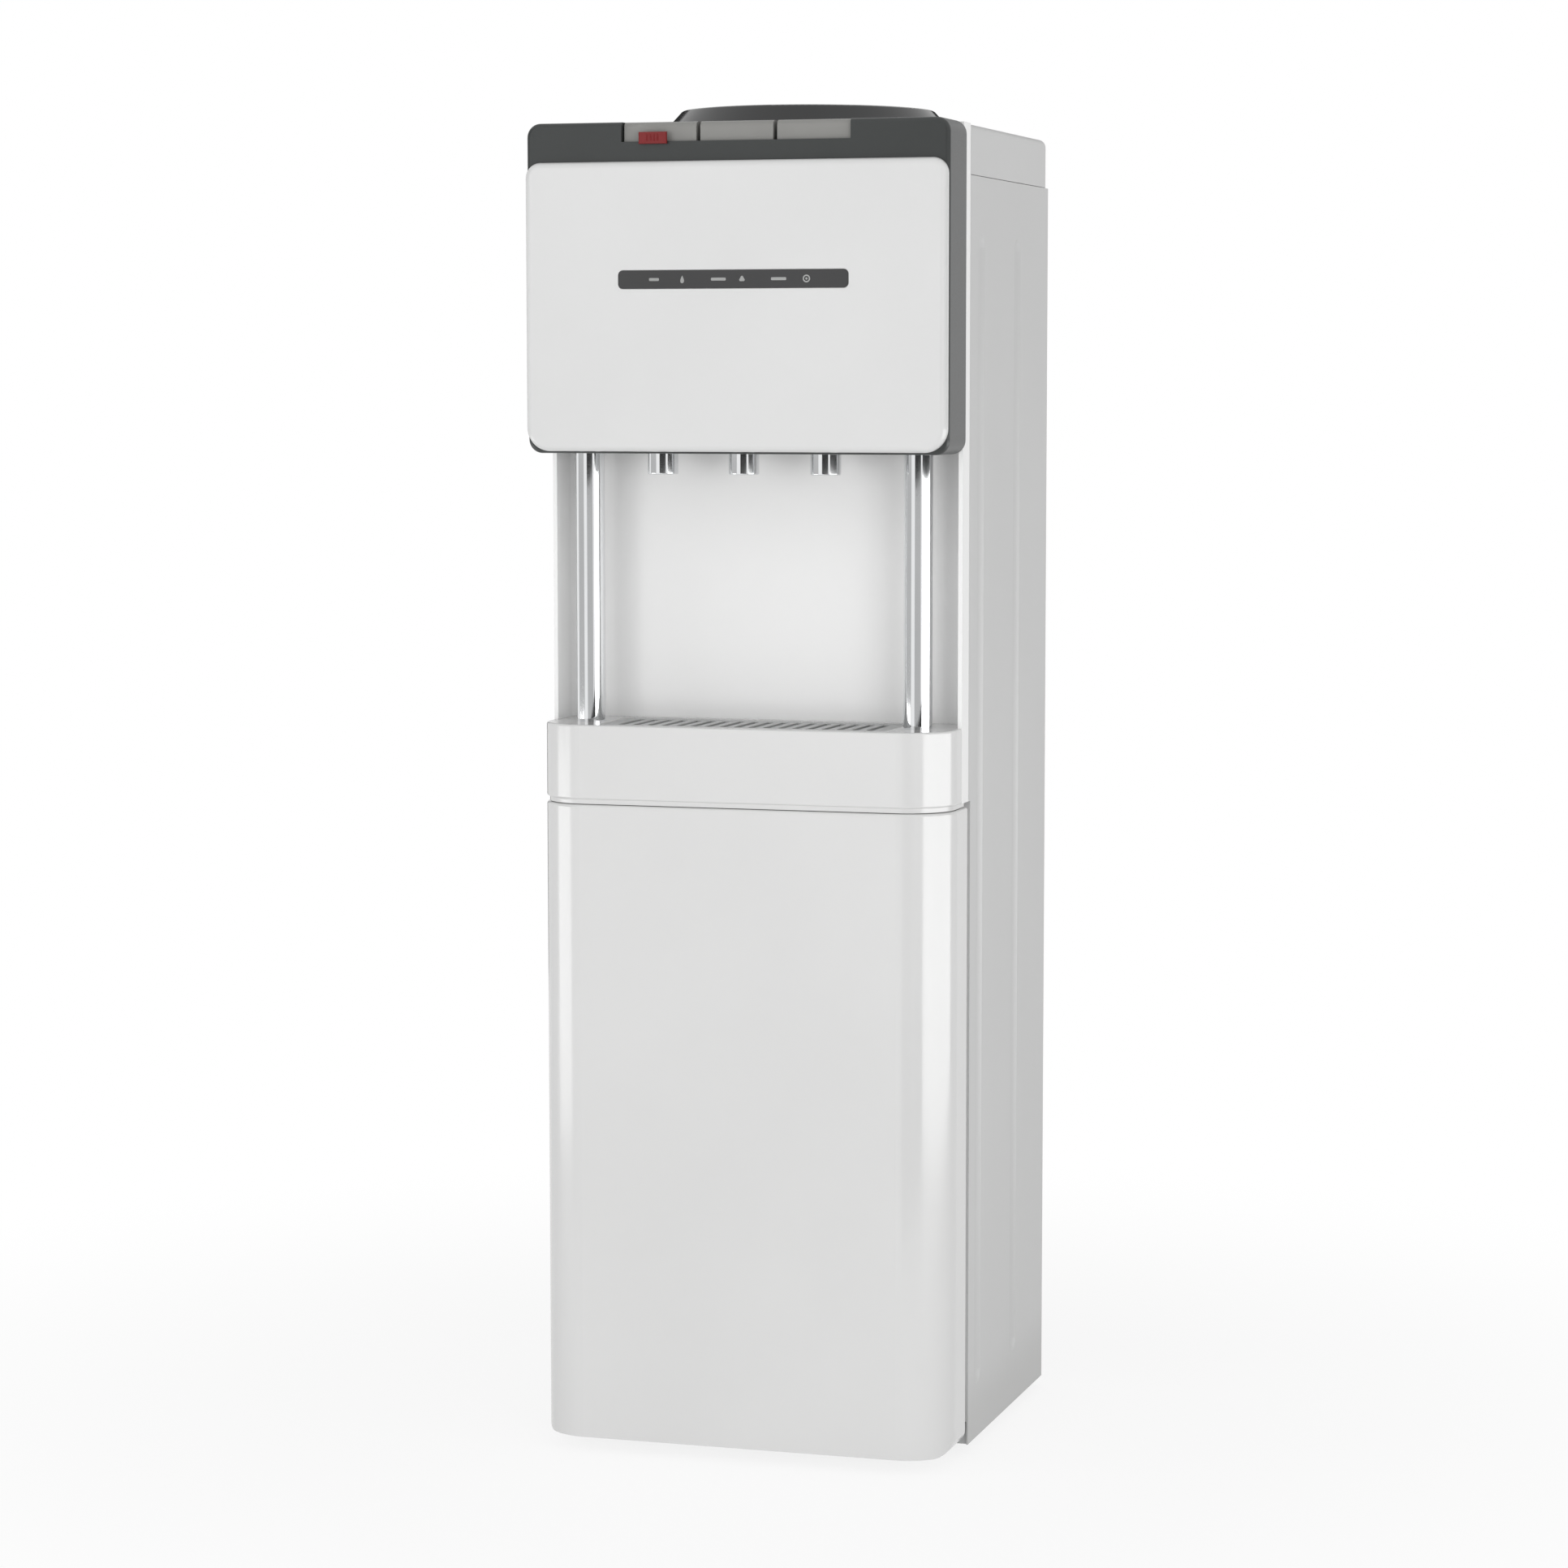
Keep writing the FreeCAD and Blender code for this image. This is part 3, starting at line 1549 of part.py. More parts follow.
screw_zs = [roof_low + 40, (roof_low + skirt_low) / 2, skirt_low - 16]
screw_spots = [(sign * screw_x, z) for sign in (-1, 1) for z in screw_zs]
rear_cuts = [
    rod("RiserHole", pipe_hole, "Z", (riser_x, condenser_y), (roof_low - 1, roof_low + size.sheet + 1)),
    rod("CapillaryHole", pipe_hole, "Y", (drier_x, capillary_z), (rear_plane - 1, rear_back + 1)),
    rod("DrainHole", size.hose_radius + 1, "Y", (drain_x, drain_z), (rear_plane - 1, rear_back + 1)),
    rod("KnobHole", size.spindle_radius + gap, "Y", (knob_x, knob_z), (rear_plane - 1, rear_back + 1)),
    box(
        "SwitchWindow",
        (bezel_x[0] + size.bezel_lap, bezel_x[1] - size.bezel_lap),
        (rear_plane - 1, rear_back + 1),
        (bezel_z[0] + size.bezel_lap, bezel_z[1] - size.bezel_lap),
    ),
] + [
    rod(f"ScrewHole{index}", size.screw_shank + size.pin_clearance, "Y", spot, (rear_plane - 1, rear_back + 1))
    for index, spot in enumerate(screw_spots)
]
clips = [
    box(
        f"CondenserClip{ix}{iz}",
        (x - size.clip_width / 2, x + size.clip_width / 2),
        (rear_back - size.sheet / 2, condenser_y - size.condenser_tube - gap),
        (z - size.clip_height / 2, z + size.clip_height / 2),
    )
    for ix, x in enumerate((size.clip_width - condenser_half, condenser_half - size.clip_width))
    for iz, z in enumerate(
        (
            condenser_low + size.condenser_pitch,
            condenser_low + size.condenser_pitch * (size.condenser_runs - 2),
        )
    )
]
piece("rear_panel", fuse("RearPanel", cut("RearCut", rear_sheet, *rear_cuts), *clips))

# Louvred cover over the machine space, with the hole for the cord gland
grille_face = (back - 2 * size.sheet, back - size.sheet)
cover_x = (size.sheet - half_width + 2, half_width - size.sheet - 2)
louvre_low = base_low + size.louvre_rise
louvre_rows = int(number((roof_low - louvre_low - size.louvre_margin) / size.louvre_pitch))
gland_spot = (half_width - size.gland_inset, base_low + size.gland_rise)
louvres = [
    box(
        f"Louvre{side}{row}",
        (centre - size.louvre_length / 2, centre + size.louvre_length / 2),
        (grille_face[0] - 1, grille_face[1] + 1),
        (
            louvre_low + row * size.louvre_pitch,
            louvre_low + row * size.louvre_pitch + size.louvre_width,
        ),
    )
    for side, centre in enumerate((-size.louvre_centre, size.louvre_centre))
    for row in range(louvre_rows)
]
gland_hole = rod(
    "GlandHole",
    size.gland_radius + gap,
    "Y",
    gland_spot,
    (grille_face[0] - 1, grille_face[1] + 1),
)
rear_cover = box(
    "RearCoverPlate", cover_x, grille_face, (base_low + size.pan_height + gap, roof_low + size.sheet)
)
piece("rear_grille", cut("RearGrille", rear_cover, gland_hole, *louvres))

# Flanged gland where the mains cord would enter
gland = fuse(
    "GlandBody",
    rod(
        "GlandBarrel",
        size.gland_radius,
        "Y",
        gland_spot,
        (grille_face[1] - size.gland_length, back),
    ),
    rod("GlandFlange", size.gland_flange, "Y", gland_spot, (grille_face[1], back)),
)
piece(
    "cord_gland",
    cut(
        "CordGland",
        gland,
        rod(
            "GlandBore",
            size.gland_bore,
            "Y",
            gland_spot,
            (grille_face[1] - size.gland_length - 1, back + 1),
        ),
    ),
)

# Wire condenser on the back: one serpentine tube between two layers of wires
runs = SIZES["condenser_runs"]
turn_radius = size.condenser_pitch / 2
serpentine = []
for run in range(runs):
    z = condenser_low + run * size.condenser_pitch
    ends = (condenser_half, -condenser_half) if run % 2 == 0 else (-condenser_half, condenser_half)
    serpentine += [(ends[0], condenser_y, z), (ends[1], condenser_y, z)]
coil_tube = shaped(
    "CondenserTube", tube_shape(serpentine, size.condenser_tube, number(turn_radius) - 0.5)
)
wire_low = condenser_low - turn_radius / 2
wire_high = condenser_low + size.condenser_pitch * (size.condenser_runs - 1) + turn_radius / 2
wire_off = size.condenser_tube + size.condenser_wire + 0.05
wire_step = (size.condenser_width - 3 * turn_radius) / (size.condenser_wires - 1)
wires = [
    rod(
        f"CondenserWire{layer}{index}",
        size.condenser_wire,
        "Z",
        (1.5 * turn_radius - condenser_half + index * wire_step, condenser_y + side * wire_off),
        (wire_low, wire_high),
    )
    for layer, side in enumerate((-1, 1))
    for index in range(SIZES["condenser_wires"])
]
piece("condenser", group("Condenser", coil_tube, *wires))

# Filter drier on the back, beside the condenser
piece(
    "filter_drier",
    turned(
        "FilterDrier",
        [
            (0, drier_low),
            (size.pipe_radius, drier_low),
            (size.drier_radius, drier_low + size.drier_taper),
            (size.drier_radius, drier_high - size.drier_taper),
            (size.pipe_radius, drier_high),
            (0, drier_high),
        ],
        drier_x,
        condenser_y,
    ),
)

# Copper pipes: discharge, liquid line, capillary with its rise to the coil, and suction
foam_side = -foam_half - gap
coil_z = coil_low + size.coil_pitch
condenser_high = condenser_low + size.condenser_pitch * (size.condenser_runs - 1)
discharge_z = comp_low + size.compressor_height / 2
suction_z = comp_high + size.suction_rise
pipes = [
    [
        (comp_x + dome + gap, comp_y, discharge_z),
        (riser_x, comp_y, discharge_z),
        (riser_x, condenser_y, discharge_z),
        (riser_x, condenser_y, condenser_low - 3 * size.pipe_bend),
    ],
    [
        (drier_x, condenser_y, drier_high + gap),
        (drier_x, condenser_y, condenser_high),
        (-condenser_half - gap, condenser_y, condenser_high),
    ],
    [
        (drier_x, condenser_y, drier_low - gap),
        (drier_x, condenser_y, capillary_z),
        (drier_x, pipe_y, capillary_z),
        (drier_x, pipe_y, coil_z + 4 * size.pipe_bend),
        (drier_x, seat_y + 40, coil_z + 4 * size.pipe_bend),
        (foam_side, seat_y + 40, coil_z + 4 * size.pipe_bend),
    ],
    [
        (foam_side, seat_y + 20, coil_z),
        (-riser_x, seat_y + 20, coil_z),
        (-riser_x, pipe_y, coil_z),
        (-riser_x, pipe_y, suction_z),
        (comp_x, pipe_y, suction_z),
        (comp_x, comp_y, suction_z),
        (comp_x, comp_y, comp_high + gap),
    ],
]
pipe_solids = [
    shaped(f"Pipe{index}", tube_shape(points, size.pipe_radius, size.pipe_bend))
    for index, points in enumerate(pipes)
]
piece("refrigerant_pipes", group("RefrigerantPipes", *pipe_solids))

# Cabinet liner behind the door: deep above the machine space, shallow in front of it
liner_half = side_inner - size.liner_side_gap
liner_wall = size.liner_wall
liner_front = lower_edge - size.liner_flange
liner_low = base_low + size.liner_floor
liner_high = door_top - size.liner_top_drop
liner_step_y = comp_y - dome - size.liner_clear
liner_deep_y = rear_plane - size.pipe_channel
step_z = roof_low + 2 * size.sheet


def stepped(inset, opening):
    return [
        (opening, liner_low + inset),
        (liner_step_y - inset, liner_low + inset),
        (liner_step_y - inset, step_z + inset),
        (liner_deep_y - inset, step_z + inset),
        (liner_deep_y - inset, liner_high - inset),
        (opening, liner_high - inset),
    ]


liner_outer = prism("LinerOuter", "YZ_Plane", stepped(0 * liner_wall, liner_front), -liner_half, liner_half)
liner_flange = box(
    "LinerFlange",
    (-liner_half - size.liner_border, liner_half + size.liner_border),
    (liner_front, lower_edge),
    (base_low + size.pan_height + 1.5, door_top - gap),
)
liner_inner = prism(
    "LinerInner",
    "YZ_Plane",
    stepped(liner_wall, liner_front - 1),
    liner_wall - liner_half,
    liner_half - liner_wall,
)
piece("cabinet_liner", cut("CabinetLiner", fuse("LinerWhole", liner_outer, liner_flange), liner_inner))

# Storage door: an outer moulding, its inner panel, a magnetic seal and two hinge bushes
door_back = face + size.door_depth
door_skin = size.wall
door_plan = [
    (-half_width, face, size.door_corner),
    (half_width, face, size.door_corner),
    (half_width, door_back),
    (-half_width, door_back),
]
door_front_view = [
    (-half_width, door_low, size.door_low_corner),
    (half_width, door_low, size.door_low_corner),
    (half_width, door_top),
    (-half_width, door_top),
]
door_solid = common(
    "DoorSolid",
    prism("DoorPlan", "XY_Plane", door_plan, door_low, door_top),
    prism("DoorFront", "XZ_Plane", door_front_view, face, door_back),
)
door_hollow = common(
    "DoorHollow",
    prism(
        "DoorHollowPlan",
        "XY_Plane",
        [
            (door_skin - half_width, face + door_skin, size.door_corner - door_skin),
            (half_width - door_skin, face + door_skin, size.door_corner - door_skin),
            (half_width - door_skin, door_back + 1),
            (door_skin - half_width, door_back + 1),
        ],
        door_low + door_skin,
        door_top - door_skin,
    ),
    prism(
        "DoorHollowFront",
        "XZ_Plane",
        [
            (door_skin - half_width, door_low + door_skin, size.door_low_corner - door_skin),
            (half_width - door_skin, door_low + door_skin, size.door_low_corner - door_skin),
            (half_width - door_skin, door_top - door_skin),
            (door_skin - half_width, door_top - door_skin),
        ],
        face + door_skin,
        door_back + 1,
    ),
)
bush_holes = rod(
    "BushHoles", size.bush_radius + gap / 3, "Z", (hinge_x, hinge_y), (door_low - 1, door_top + 1)
)
door_round = rounded(
    "DoorRound",
    door_solid,
    size.door_edge,
    level("Z", door_top),
    lambda edge: edge.BoundBox.YMin < number(door_back) - 2,
)
piece("door_panel", cut("DoorPanel", door_round, door_hollow, bush_holes))
inner_x = (door_skin + gap - half_width, half_width - door_skin - gap)
inner_z = (door_low + door_skin + gap, door_top - door_skin - gap)
inner_y = (door_back - size.door_inner_thick, door_back)
piece(
    "door_inner",
    prism(
        "DoorInner",
        "XZ_Plane",
        [
            (inner_x[0], inner_z[0], size.door_low_corner - door_skin),
            (inner_x[1], inner_z[0], size.door_low_corner - door_skin),
            (inner_x[1], inner_z[1]),
            (inner_x[0], inner_z[1]),
        ],
        *inner_y,
    ),
)
seal_z = (liner_low - size.liner_wall, liner_high + size.liner_wall)
seal_y = (door_back, liner_front - gap)
seal = cut(
    "DoorSeal",
    prism(
        "SealBlock",
        "XZ_Plane",
        rectangle(
            (-liner_half - size.seal_width / 2, liner_half + size.seal_width / 2),
            (seal_z[0] - size.seal_width / 2, seal_z[1] + size.seal_width / 2),
            size.seal_width,
        ),
        *seal_y,
    ),
    box(
        "SealOpening",
        (size.seal_width / 2 - liner_half, liner_half - size.seal_width / 2),
        (seal_y[0] - 1, seal_y[1] + 1),
        (seal_z[0] + size.seal_width / 2, seal_z[1] - size.seal_width / 2),
    ),
)
piece("door_seal", seal)


def bush(label, outer, inner):
    """A flanged nylon bush; the flange lies at the outer end."""
    low, high = (outer, inner) if number(outer) < number(inner) else (inner, outer)
    up = number(inner) > number(outer)
    lip = (low, low + size.bush_lip) if up else (high - size.bush_lip, high)
    body = fuse(
        label + "Body",
        rod(label + "Sleeve", size.bush_radius, "Z", (hinge_x, hinge_y), (low, high)),
        rod(label + "Lip", size.bush_flange, "Z", (hinge_x, hinge_y), lip),
    )
    pin = size.hinge_pin + size.pin_clearance
    return cut(label, body, rod(label + "Bore", pin, "Z", (hinge_x, hinge_y), (low - 1, high + 1)))


bush_reach = size.hinge_reach
low_bush = bush("LowBush", door_low - size.bush_lip, door_low + bush_reach)
top_bush = bush("TopBush", door_top + size.bush_lip, door_top - bush_reach)
piece("door_bushes", group("DoorBushes", low_bush, top_bush))

# Steel bracket that carries the door on its pin, and the stepped pin at the top
bracket_low = base_low
bracket_high = bracket_low + size.bracket_thick
bracket_x = (hinge_x - size.bush_flange + 1, hinge_x + size.bracket_width - size.bush_flange)
bracket_tab = box(
    "BracketTab",
    bracket_x,
    (hinge_y - size.bush_flange, pan_y[0]),
    (bracket_low, bracket_high),
)
bracket_fold = box(
    "BracketFold",
    bracket_x,
    (pan_y[0] - size.bracket_thick, pan_y[0]),
    (bracket_low, base_low + size.pan_height),
)
bracket_pin = rod(
    "BracketPin", size.hinge_pin, "Z", (hinge_x, hinge_y), (bracket_low, door_low + bush_reach - 1)
)
piece("hinge_bracket", fuse("HingeBracket", bracket_tab, bracket_fold, bracket_pin))
top_pin = fuse(
    "TopPin",
    rod(
        "TopPinShank",
        size.hinge_pin,
        "Z",
        (hinge_x, hinge_y),
        (door_top - bush_reach + 1, band_low + size.band_wall),
    ),
    rod("TopPinCollar", size.hinge_pin + 2, "Z", (hinge_x, hinge_y), (band_low - 1.5, band_low)),
)
piece("hinge_pin_top", top_pin)

# Switch bezel with its box and pivot pins, and two rocker switches, high on the back
bezel_y = (rear_back, rear_back + size.bezel_thick)
bezel_plate = prism("BezelPlate", "XZ_Plane", rectangle(bezel_x, bezel_z, size.bezel_corner), *bezel_y)
rocker_xs = {
    "heating": bezel_centre - size.rocker_pitch / 2,
    "cooling": bezel_centre + size.rocker_pitch / 2,
}
rocker_y = bezel_y[1] - size.rocker_pin
bezel_windows = [
    box(
        f"BezelWindow{name}",
        (x - size.rocker_width / 2 - gap, x + size.rocker_width / 2 + gap),
        (bezel_y[0] - 1, bezel_y[1] + 1),
        (rocker_z - size.rocker_height / 2 - 2 * gap, rocker_z + size.rocker_height / 2 + 2 * gap),
    )
    for name, x in rocker_xs.items()
]
bezel_pins = [
    rod(
        f"BezelPin{name}",
        size.rocker_pin,
        "X",
        (rocker_y, rocker_z),
        (x - size.rocker_width / 2 - 2 * gap, x + size.rocker_width / 2 + 2 * gap),
    )
    for name, x in rocker_xs.items()
]
box_inset = size.bezel_lap + 1
box_low = rear_plane - size.switch_box_depth
socket = cut(
    "SwitchBox",
    box(
        "SwitchBoxBlock",
        (bezel_x[0] + box_inset, bezel_x[1] - box_inset),
        (box_low, rear_back + 0.5),
        (bezel_z[0] + box_inset, bezel_z[1] - box_inset),
    ),
    box(
        "SwitchBoxHollow",
        (bezel_x[0] + box_inset + 1, bezel_x[1] - box_inset - 1),
        (box_low + 1, rear_back + 1),
        (bezel_z[0] + box_inset + 1, bezel_z[1] - box_inset - 1),
    ),
)
bezel_frame = cut("BezelFrame", bezel_plate, *bezel_windows)
piece("switch_bezel", fuse("SwitchBezel", bezel_frame, socket, *bezel_pins))
for name, x in rocker_xs.items():
    half = size.rocker_height / 2
    paddle = prism(
        f"Rocker{name}",
        "YZ_Plane",
        [
            (-size.rocker_back, -half),
            (size.rocker_rise, -half),
            (size.rocker_dip, 0),
            (size.rocker_rise, half),
            (-size.rocker_back, half),
            (-size.rocker_heel, 0),
        ],
        -size.rocker_width / 2,
        size.rocker_width / 2,
    )
    paddle.Placement = FreeCAD.Placement(
        FreeCAD.Vector(), FreeCAD.Rotation(FreeCAD.Vector(1, 0, 0), SIZES["rocker_tilt"])
    )
    place(paddle, x, rocker_y, rocker_z)
    bore = rod(
        f"RockerBore{name}",
        size.rocker_pin + size.pin_clearance,
        "X",
        (rocker_y, rocker_z),
        (x - size.rocker_width, x + size.rocker_width),
    )
    piece(f"rocker_{name}", cut(f"RockerBored{name}", paddle, bore))

# Thermostat knob on its spindle, with a raised pointer
knob_span = (rear_back + gap, rear_back + gap + size.knob_length)
knob = fuse(
    "KnobSolid",
    rod("KnobGrip", size.knob_radius, "Y", (knob_x, knob_z), knob_span),
    rod(
        "KnobSpindle",
        size.spindle_radius,
        "Y",
        (knob_x, knob_z),
        (rear_plane - 2 * size.spindle_radius, knob_span[1]),
    ),
    box(
        "KnobPointer",
        (knob_x - size.pointer_width / 2, knob_x + size.pointer_width / 2),
        (knob_span[1] - 1, knob_span[1] + 1),
        (knob_z + size.pointer_width, knob_z + size.knob_radius - 1),
    ),
)
piece("thermostat_knob", knob)

# Drain outlet of the hot tank and its cap
drain_y = (rear_back, rear_back + size.drain_length)
drain_spot = (drain_x, drain_z)
spout = cut(
    "DrainSpout",
    fuse(
        "DrainSolid",
        rod("DrainPipe", size.hose_radius, "Y", drain_spot, drain_y),
        rod("DrainFlange", size.drain_cap_radius + 3, "Y", drain_spot, (drain_y[0], drain_y[0] + 2)),
    ),
    rod("DrainBore", hose_bore, "Y", drain_spot, (drain_y[0] - 1, drain_y[1] + 1)),
)
piece("drain_spout", spout)
cap_y = (drain_y[1] + gap - size.drain_cap_length + 2, drain_y[1] + gap + 2)
cap = cut(
    "DrainCap",
    rod("DrainCapBlock", size.drain_cap_radius, "Y", drain_spot, cap_y),
    rod("DrainCapBore", size.hose_radius + gap, "Y", drain_spot, (cap_y[0] - 1, cap_y[1] - 2)),
)
piece("drain_cap", cap)

# Screws that hold the rear panel, as one group
screws = [
    fuse(
        f"Screw{index}",
        rod(f"ScrewHead{index}", size.screw_head, "Y", spot, (rear_back, rear_back + size.screw_rise)),
        rod(f"ScrewShank{index}", size.screw_shank, "Y", spot, (rear_back - size.screw_length, rear_back)),
    )
    for index, spot in enumerate(screw_spots)
]
piece("rear_screws", group("RearScrews", *screws))

# Every feature must be sound before anything is written
doc.recompute()
faults = [item.Label for item in doc.Objects if {"Invalid", "Error"} & set(item.State)]
for item in pieces:
    if item.Shape.isNull() or not item.Shape.isValid() or not item.Shape.Solids:
        faults.append(item.Label)
if faults:
    raise RuntimeError("failed: " + ", ".join(faults))
os.makedirs("parts", exist_ok=True)
for item in pieces:
    item.Shape.exportStep(f"parts/{item.Label}.step")
    limits = item.Shape.BoundBox
    print(
        f"{item.Label:22s} solids {len(item.Shape.Solids):3d} volume {item.Shape.Volume:11.1f}"
        f"  X {limits.XMin:7.1f} {limits.XMax:7.1f}  Y {limits.YMin:7.1f} {limits.YMax:7.1f}"
        f"  Z {limits.ZMin:7.1f} {limits.ZMax:7.1f}"
    )
print(len(pieces), "sub-parts")
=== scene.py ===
import math

import bmesh
import bpy
import numpy as np
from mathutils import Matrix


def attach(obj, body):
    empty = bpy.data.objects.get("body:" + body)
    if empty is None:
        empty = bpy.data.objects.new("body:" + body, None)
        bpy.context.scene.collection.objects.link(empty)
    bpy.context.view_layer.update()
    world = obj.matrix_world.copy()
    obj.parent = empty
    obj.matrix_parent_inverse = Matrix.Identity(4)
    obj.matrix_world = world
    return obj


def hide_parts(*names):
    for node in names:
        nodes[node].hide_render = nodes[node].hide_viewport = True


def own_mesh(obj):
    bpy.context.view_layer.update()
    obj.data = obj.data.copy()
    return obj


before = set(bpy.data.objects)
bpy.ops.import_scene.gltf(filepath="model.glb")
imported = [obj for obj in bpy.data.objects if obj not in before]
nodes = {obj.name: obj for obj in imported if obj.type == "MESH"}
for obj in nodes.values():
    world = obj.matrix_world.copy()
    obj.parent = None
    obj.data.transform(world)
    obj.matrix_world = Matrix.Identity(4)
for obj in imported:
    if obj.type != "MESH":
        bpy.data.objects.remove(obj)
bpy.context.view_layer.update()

# Studio
# A pale floor under soft lamps, seen a little from the right at the height of the head. White
# card on both sides gives the gloss its upright bands, and black card gives chrome its dark ones.
scene = bpy.context.scene
scene.view_settings.view_transform = "Standard"
PHOTO_LENS = 97.58
LENS_SHIFT = (-0.01506, 0.01886)
CAMERA_PLACE = (0.9243, -3.0359, 0.7858)
CAMERA_TILT = math.radians(84.15)
CAMERA_TURN = math.radians(16.77)
camera = bpy.data.objects.new("camera", bpy.data.cameras.new("camera"))
camera.data.lens = PHOTO_LENS
camera.data.shift_x, camera.data.shift_y = LENS_SHIFT
camera.location = CAMERA_PLACE
camera.rotation_euler = (CAMERA_TILT, 0, CAMERA_TURN)
scene.collection.objects.link(camera)
scene.camera = camera


class Shade:
    """One socket of a material's nodes. Arithmetic on it adds Math nodes."""

    def __init__(self, tree, socket=None):
        self.tree = tree
        self.socket = socket

    def node(self, kind, settings=None, inputs=None, output=0):
        """Adds a shader node: its settings first, then the values or links of its sockets."""
        made = self.tree.nodes.new("ShaderNode" + kind)
        for key, value in (settings or {}).items():
            setattr(made, key, value)
        for key, value in (inputs or {}).items():
            if isinstance(value, Shade):
                self.tree.links.new(value.socket, made.inputs[key])
            else:
                made.inputs[key].default_value = value
        return Shade(self.tree, made.outputs[output])

    def math(self, operation, first, second=0.0):
        return self.node("Math", {"operation": operation}, {0: first, 1: second})

    def __add__(self, other):
        return self.math("ADD", self, other)

    def __radd__(self, other):
        return self.math("ADD", other, self)

    def __rsub__(self, other):
        return self.math("SUBTRACT", other, self)

    def __mul__(self, other):
        return self.math("MULTIPLY", self, other)

    def step(self, low, high):
        """0 below low, 1 above high and a smooth rise between them."""
        limits = {"Value": self, "From Min": low, "From Max": high}
        return self.node("MapRange", {"interpolation_type": "SMOOTHSTEP"}, limits)

    def blend(self, first, second):
        """The first colour where this mask is 0 and the second where it is 1."""
        ends = [tone if isinstance(tone, Shade) else (*tone, 1) for tone in (first, second)]
        return self.node("Mix", {"data_type": "RGBA"}, {0: self, 6: ends[0], 7: ends[1]}, 2)

    def noise(self, scale, detail=2.0, roughness=0.5):
        """Cloudy noise over this coordinate, with scale in cells per metre."""
        inputs = {"Vector": self, "Scale": scale, "Detail": detail, "Roughness": roughness}
        return self.node("TexNoise", None, inputs)

    def cells(self, scale, feature="F1", output="Distance"):
        """Voronoi cells over this coordinate, with scale in cells per metre."""
        inputs = {"Vector": self, "Scale": scale}
        return self.node("TexVoronoi", {"feature": feature}, inputs, output)

    def relief(self, depth):
        """A surface normal that this height, in units of depth metres, presses."""
        return self.node("Bump", None, {"Height": self, "Distance": depth, "Strength": 1.0})

    def axis(self, name):
        """One coordinate of this vector."""
        return self.node("SeparateXYZ", None, {"Vector": self}, name)

    def stretched(self, x, y, z):
        """This coordinate scaled along its axes."""
        return self.node("Mapping", None, {"Vector": self, "Scale": (x, y, z)})


def finish(name, look, plain=None):
    """A material: look(place) gives the sockets that vary, and plain the sockets that don't."""
    made = bpy.data.materials.new(name)
    made.use_nodes = True
    tree = made.node_tree
    shader = tree.nodes["Principled BSDF"]
    place = Shade(tree).node("TexCoord", output="Object")
    for key, value in {**(plain or {}), **look(place)}.items():
        if isinstance(value, Shade):
            tree.links.new(value.socket, shader.inputs[key])
        else:
            shader.inputs[key].default_value = value
    return made


def times(tone, share):
    """A colour times a number."""
    return tuple(share * part for part in tone)


def dress(material, *names):
    """Gives a material to CAD nodes."""
    for name in names:
        for place in nodes[name].material_slots:
            place.material = material


def stage_plane(name, centre, size, turn, material):
    """A flat card of the studio, turned about the upright axis."""
    x, z = size[0] / 2, size[1] / 2
    corners = np.array([(-x, 0, -z), (x, 0, -z), (x, 0, z), (-x, 0, z)])
    cos, sin = math.cos(turn), math.sin(turn)
    turned = corners @ np.array([(cos, sin, 0), (-sin, cos, 0), (0, 0, 1)])
    mesh = bpy.data.meshes.new(name)
    mesh.from_pydata((turned + np.array(centre)).tolist(), [], [(0, 1, 2, 3)])
    card = bpy.data.objects.new(name, mesh)
    scene.collection.objects.link(card)
    mesh.materials.append(material)
    return card


def glow(name, level):
    """A plain light-giving material of one level."""
    made = bpy.data.materials.new(name)
    made.use_nodes = True
    tree = made.node_tree
    tree.nodes.clear()
    light = {"Color": (level, level, level, 1), "Strength": 1.0}
    shader = Shade(tree).node("Emission", None, light)
    out = tree.nodes.new("ShaderNodeOutputMaterial")
    tree.links.new(shader.socket, out.inputs["Surface"])
    return made


def lamp(name, place, aim, size, power):
    """A soft rectangular lamp that looks at a point."""
    data = bpy.data.lights.new(name, "AREA")
    data.shape = "RECTANGLE"
    data.size, data.size_y = size
    data.energy = power
    made = bpy.data.objects.new(name, data)
    scene.collection.objects.link(made)
    made.location = place
    away = np.array(place, float) - np.array(aim, float)
    tilt = math.atan2(math.hypot(away[0], away[1]), away[2])
    made.rotation_euler = (tilt, 0, math.atan2(away[0], -away[1]))
    made.visible_glossy = False


def sharp_rays(shade):
    """1 for rays from the camera, off gloss or through glass, and 0 for all others."""
    seen = shade.node("LightPath", output="Is Camera Ray")
    for ray in ("Is Glossy Ray", "Is Transmission Ray"):
        seen = seen + shade.node("LightPath", output=ray)
    return shade.math("MINIMUM", seen, 1.0)


AMBIENT = 0.6
world = bpy.data.worlds.new("studio")
scene.world = world
world.use_nodes = True
strength = AMBIENT + sharp_rays(Shade(world.node_tree)) * (1.0 - AMBIENT)
backdrop = world.node_tree.nodes["Background"]
world.node_tree.links.new(strength.socket, backdrop.inputs["Strength"])
backdrop.inputs["Color"].default_value = (1, 1, 1, 1)

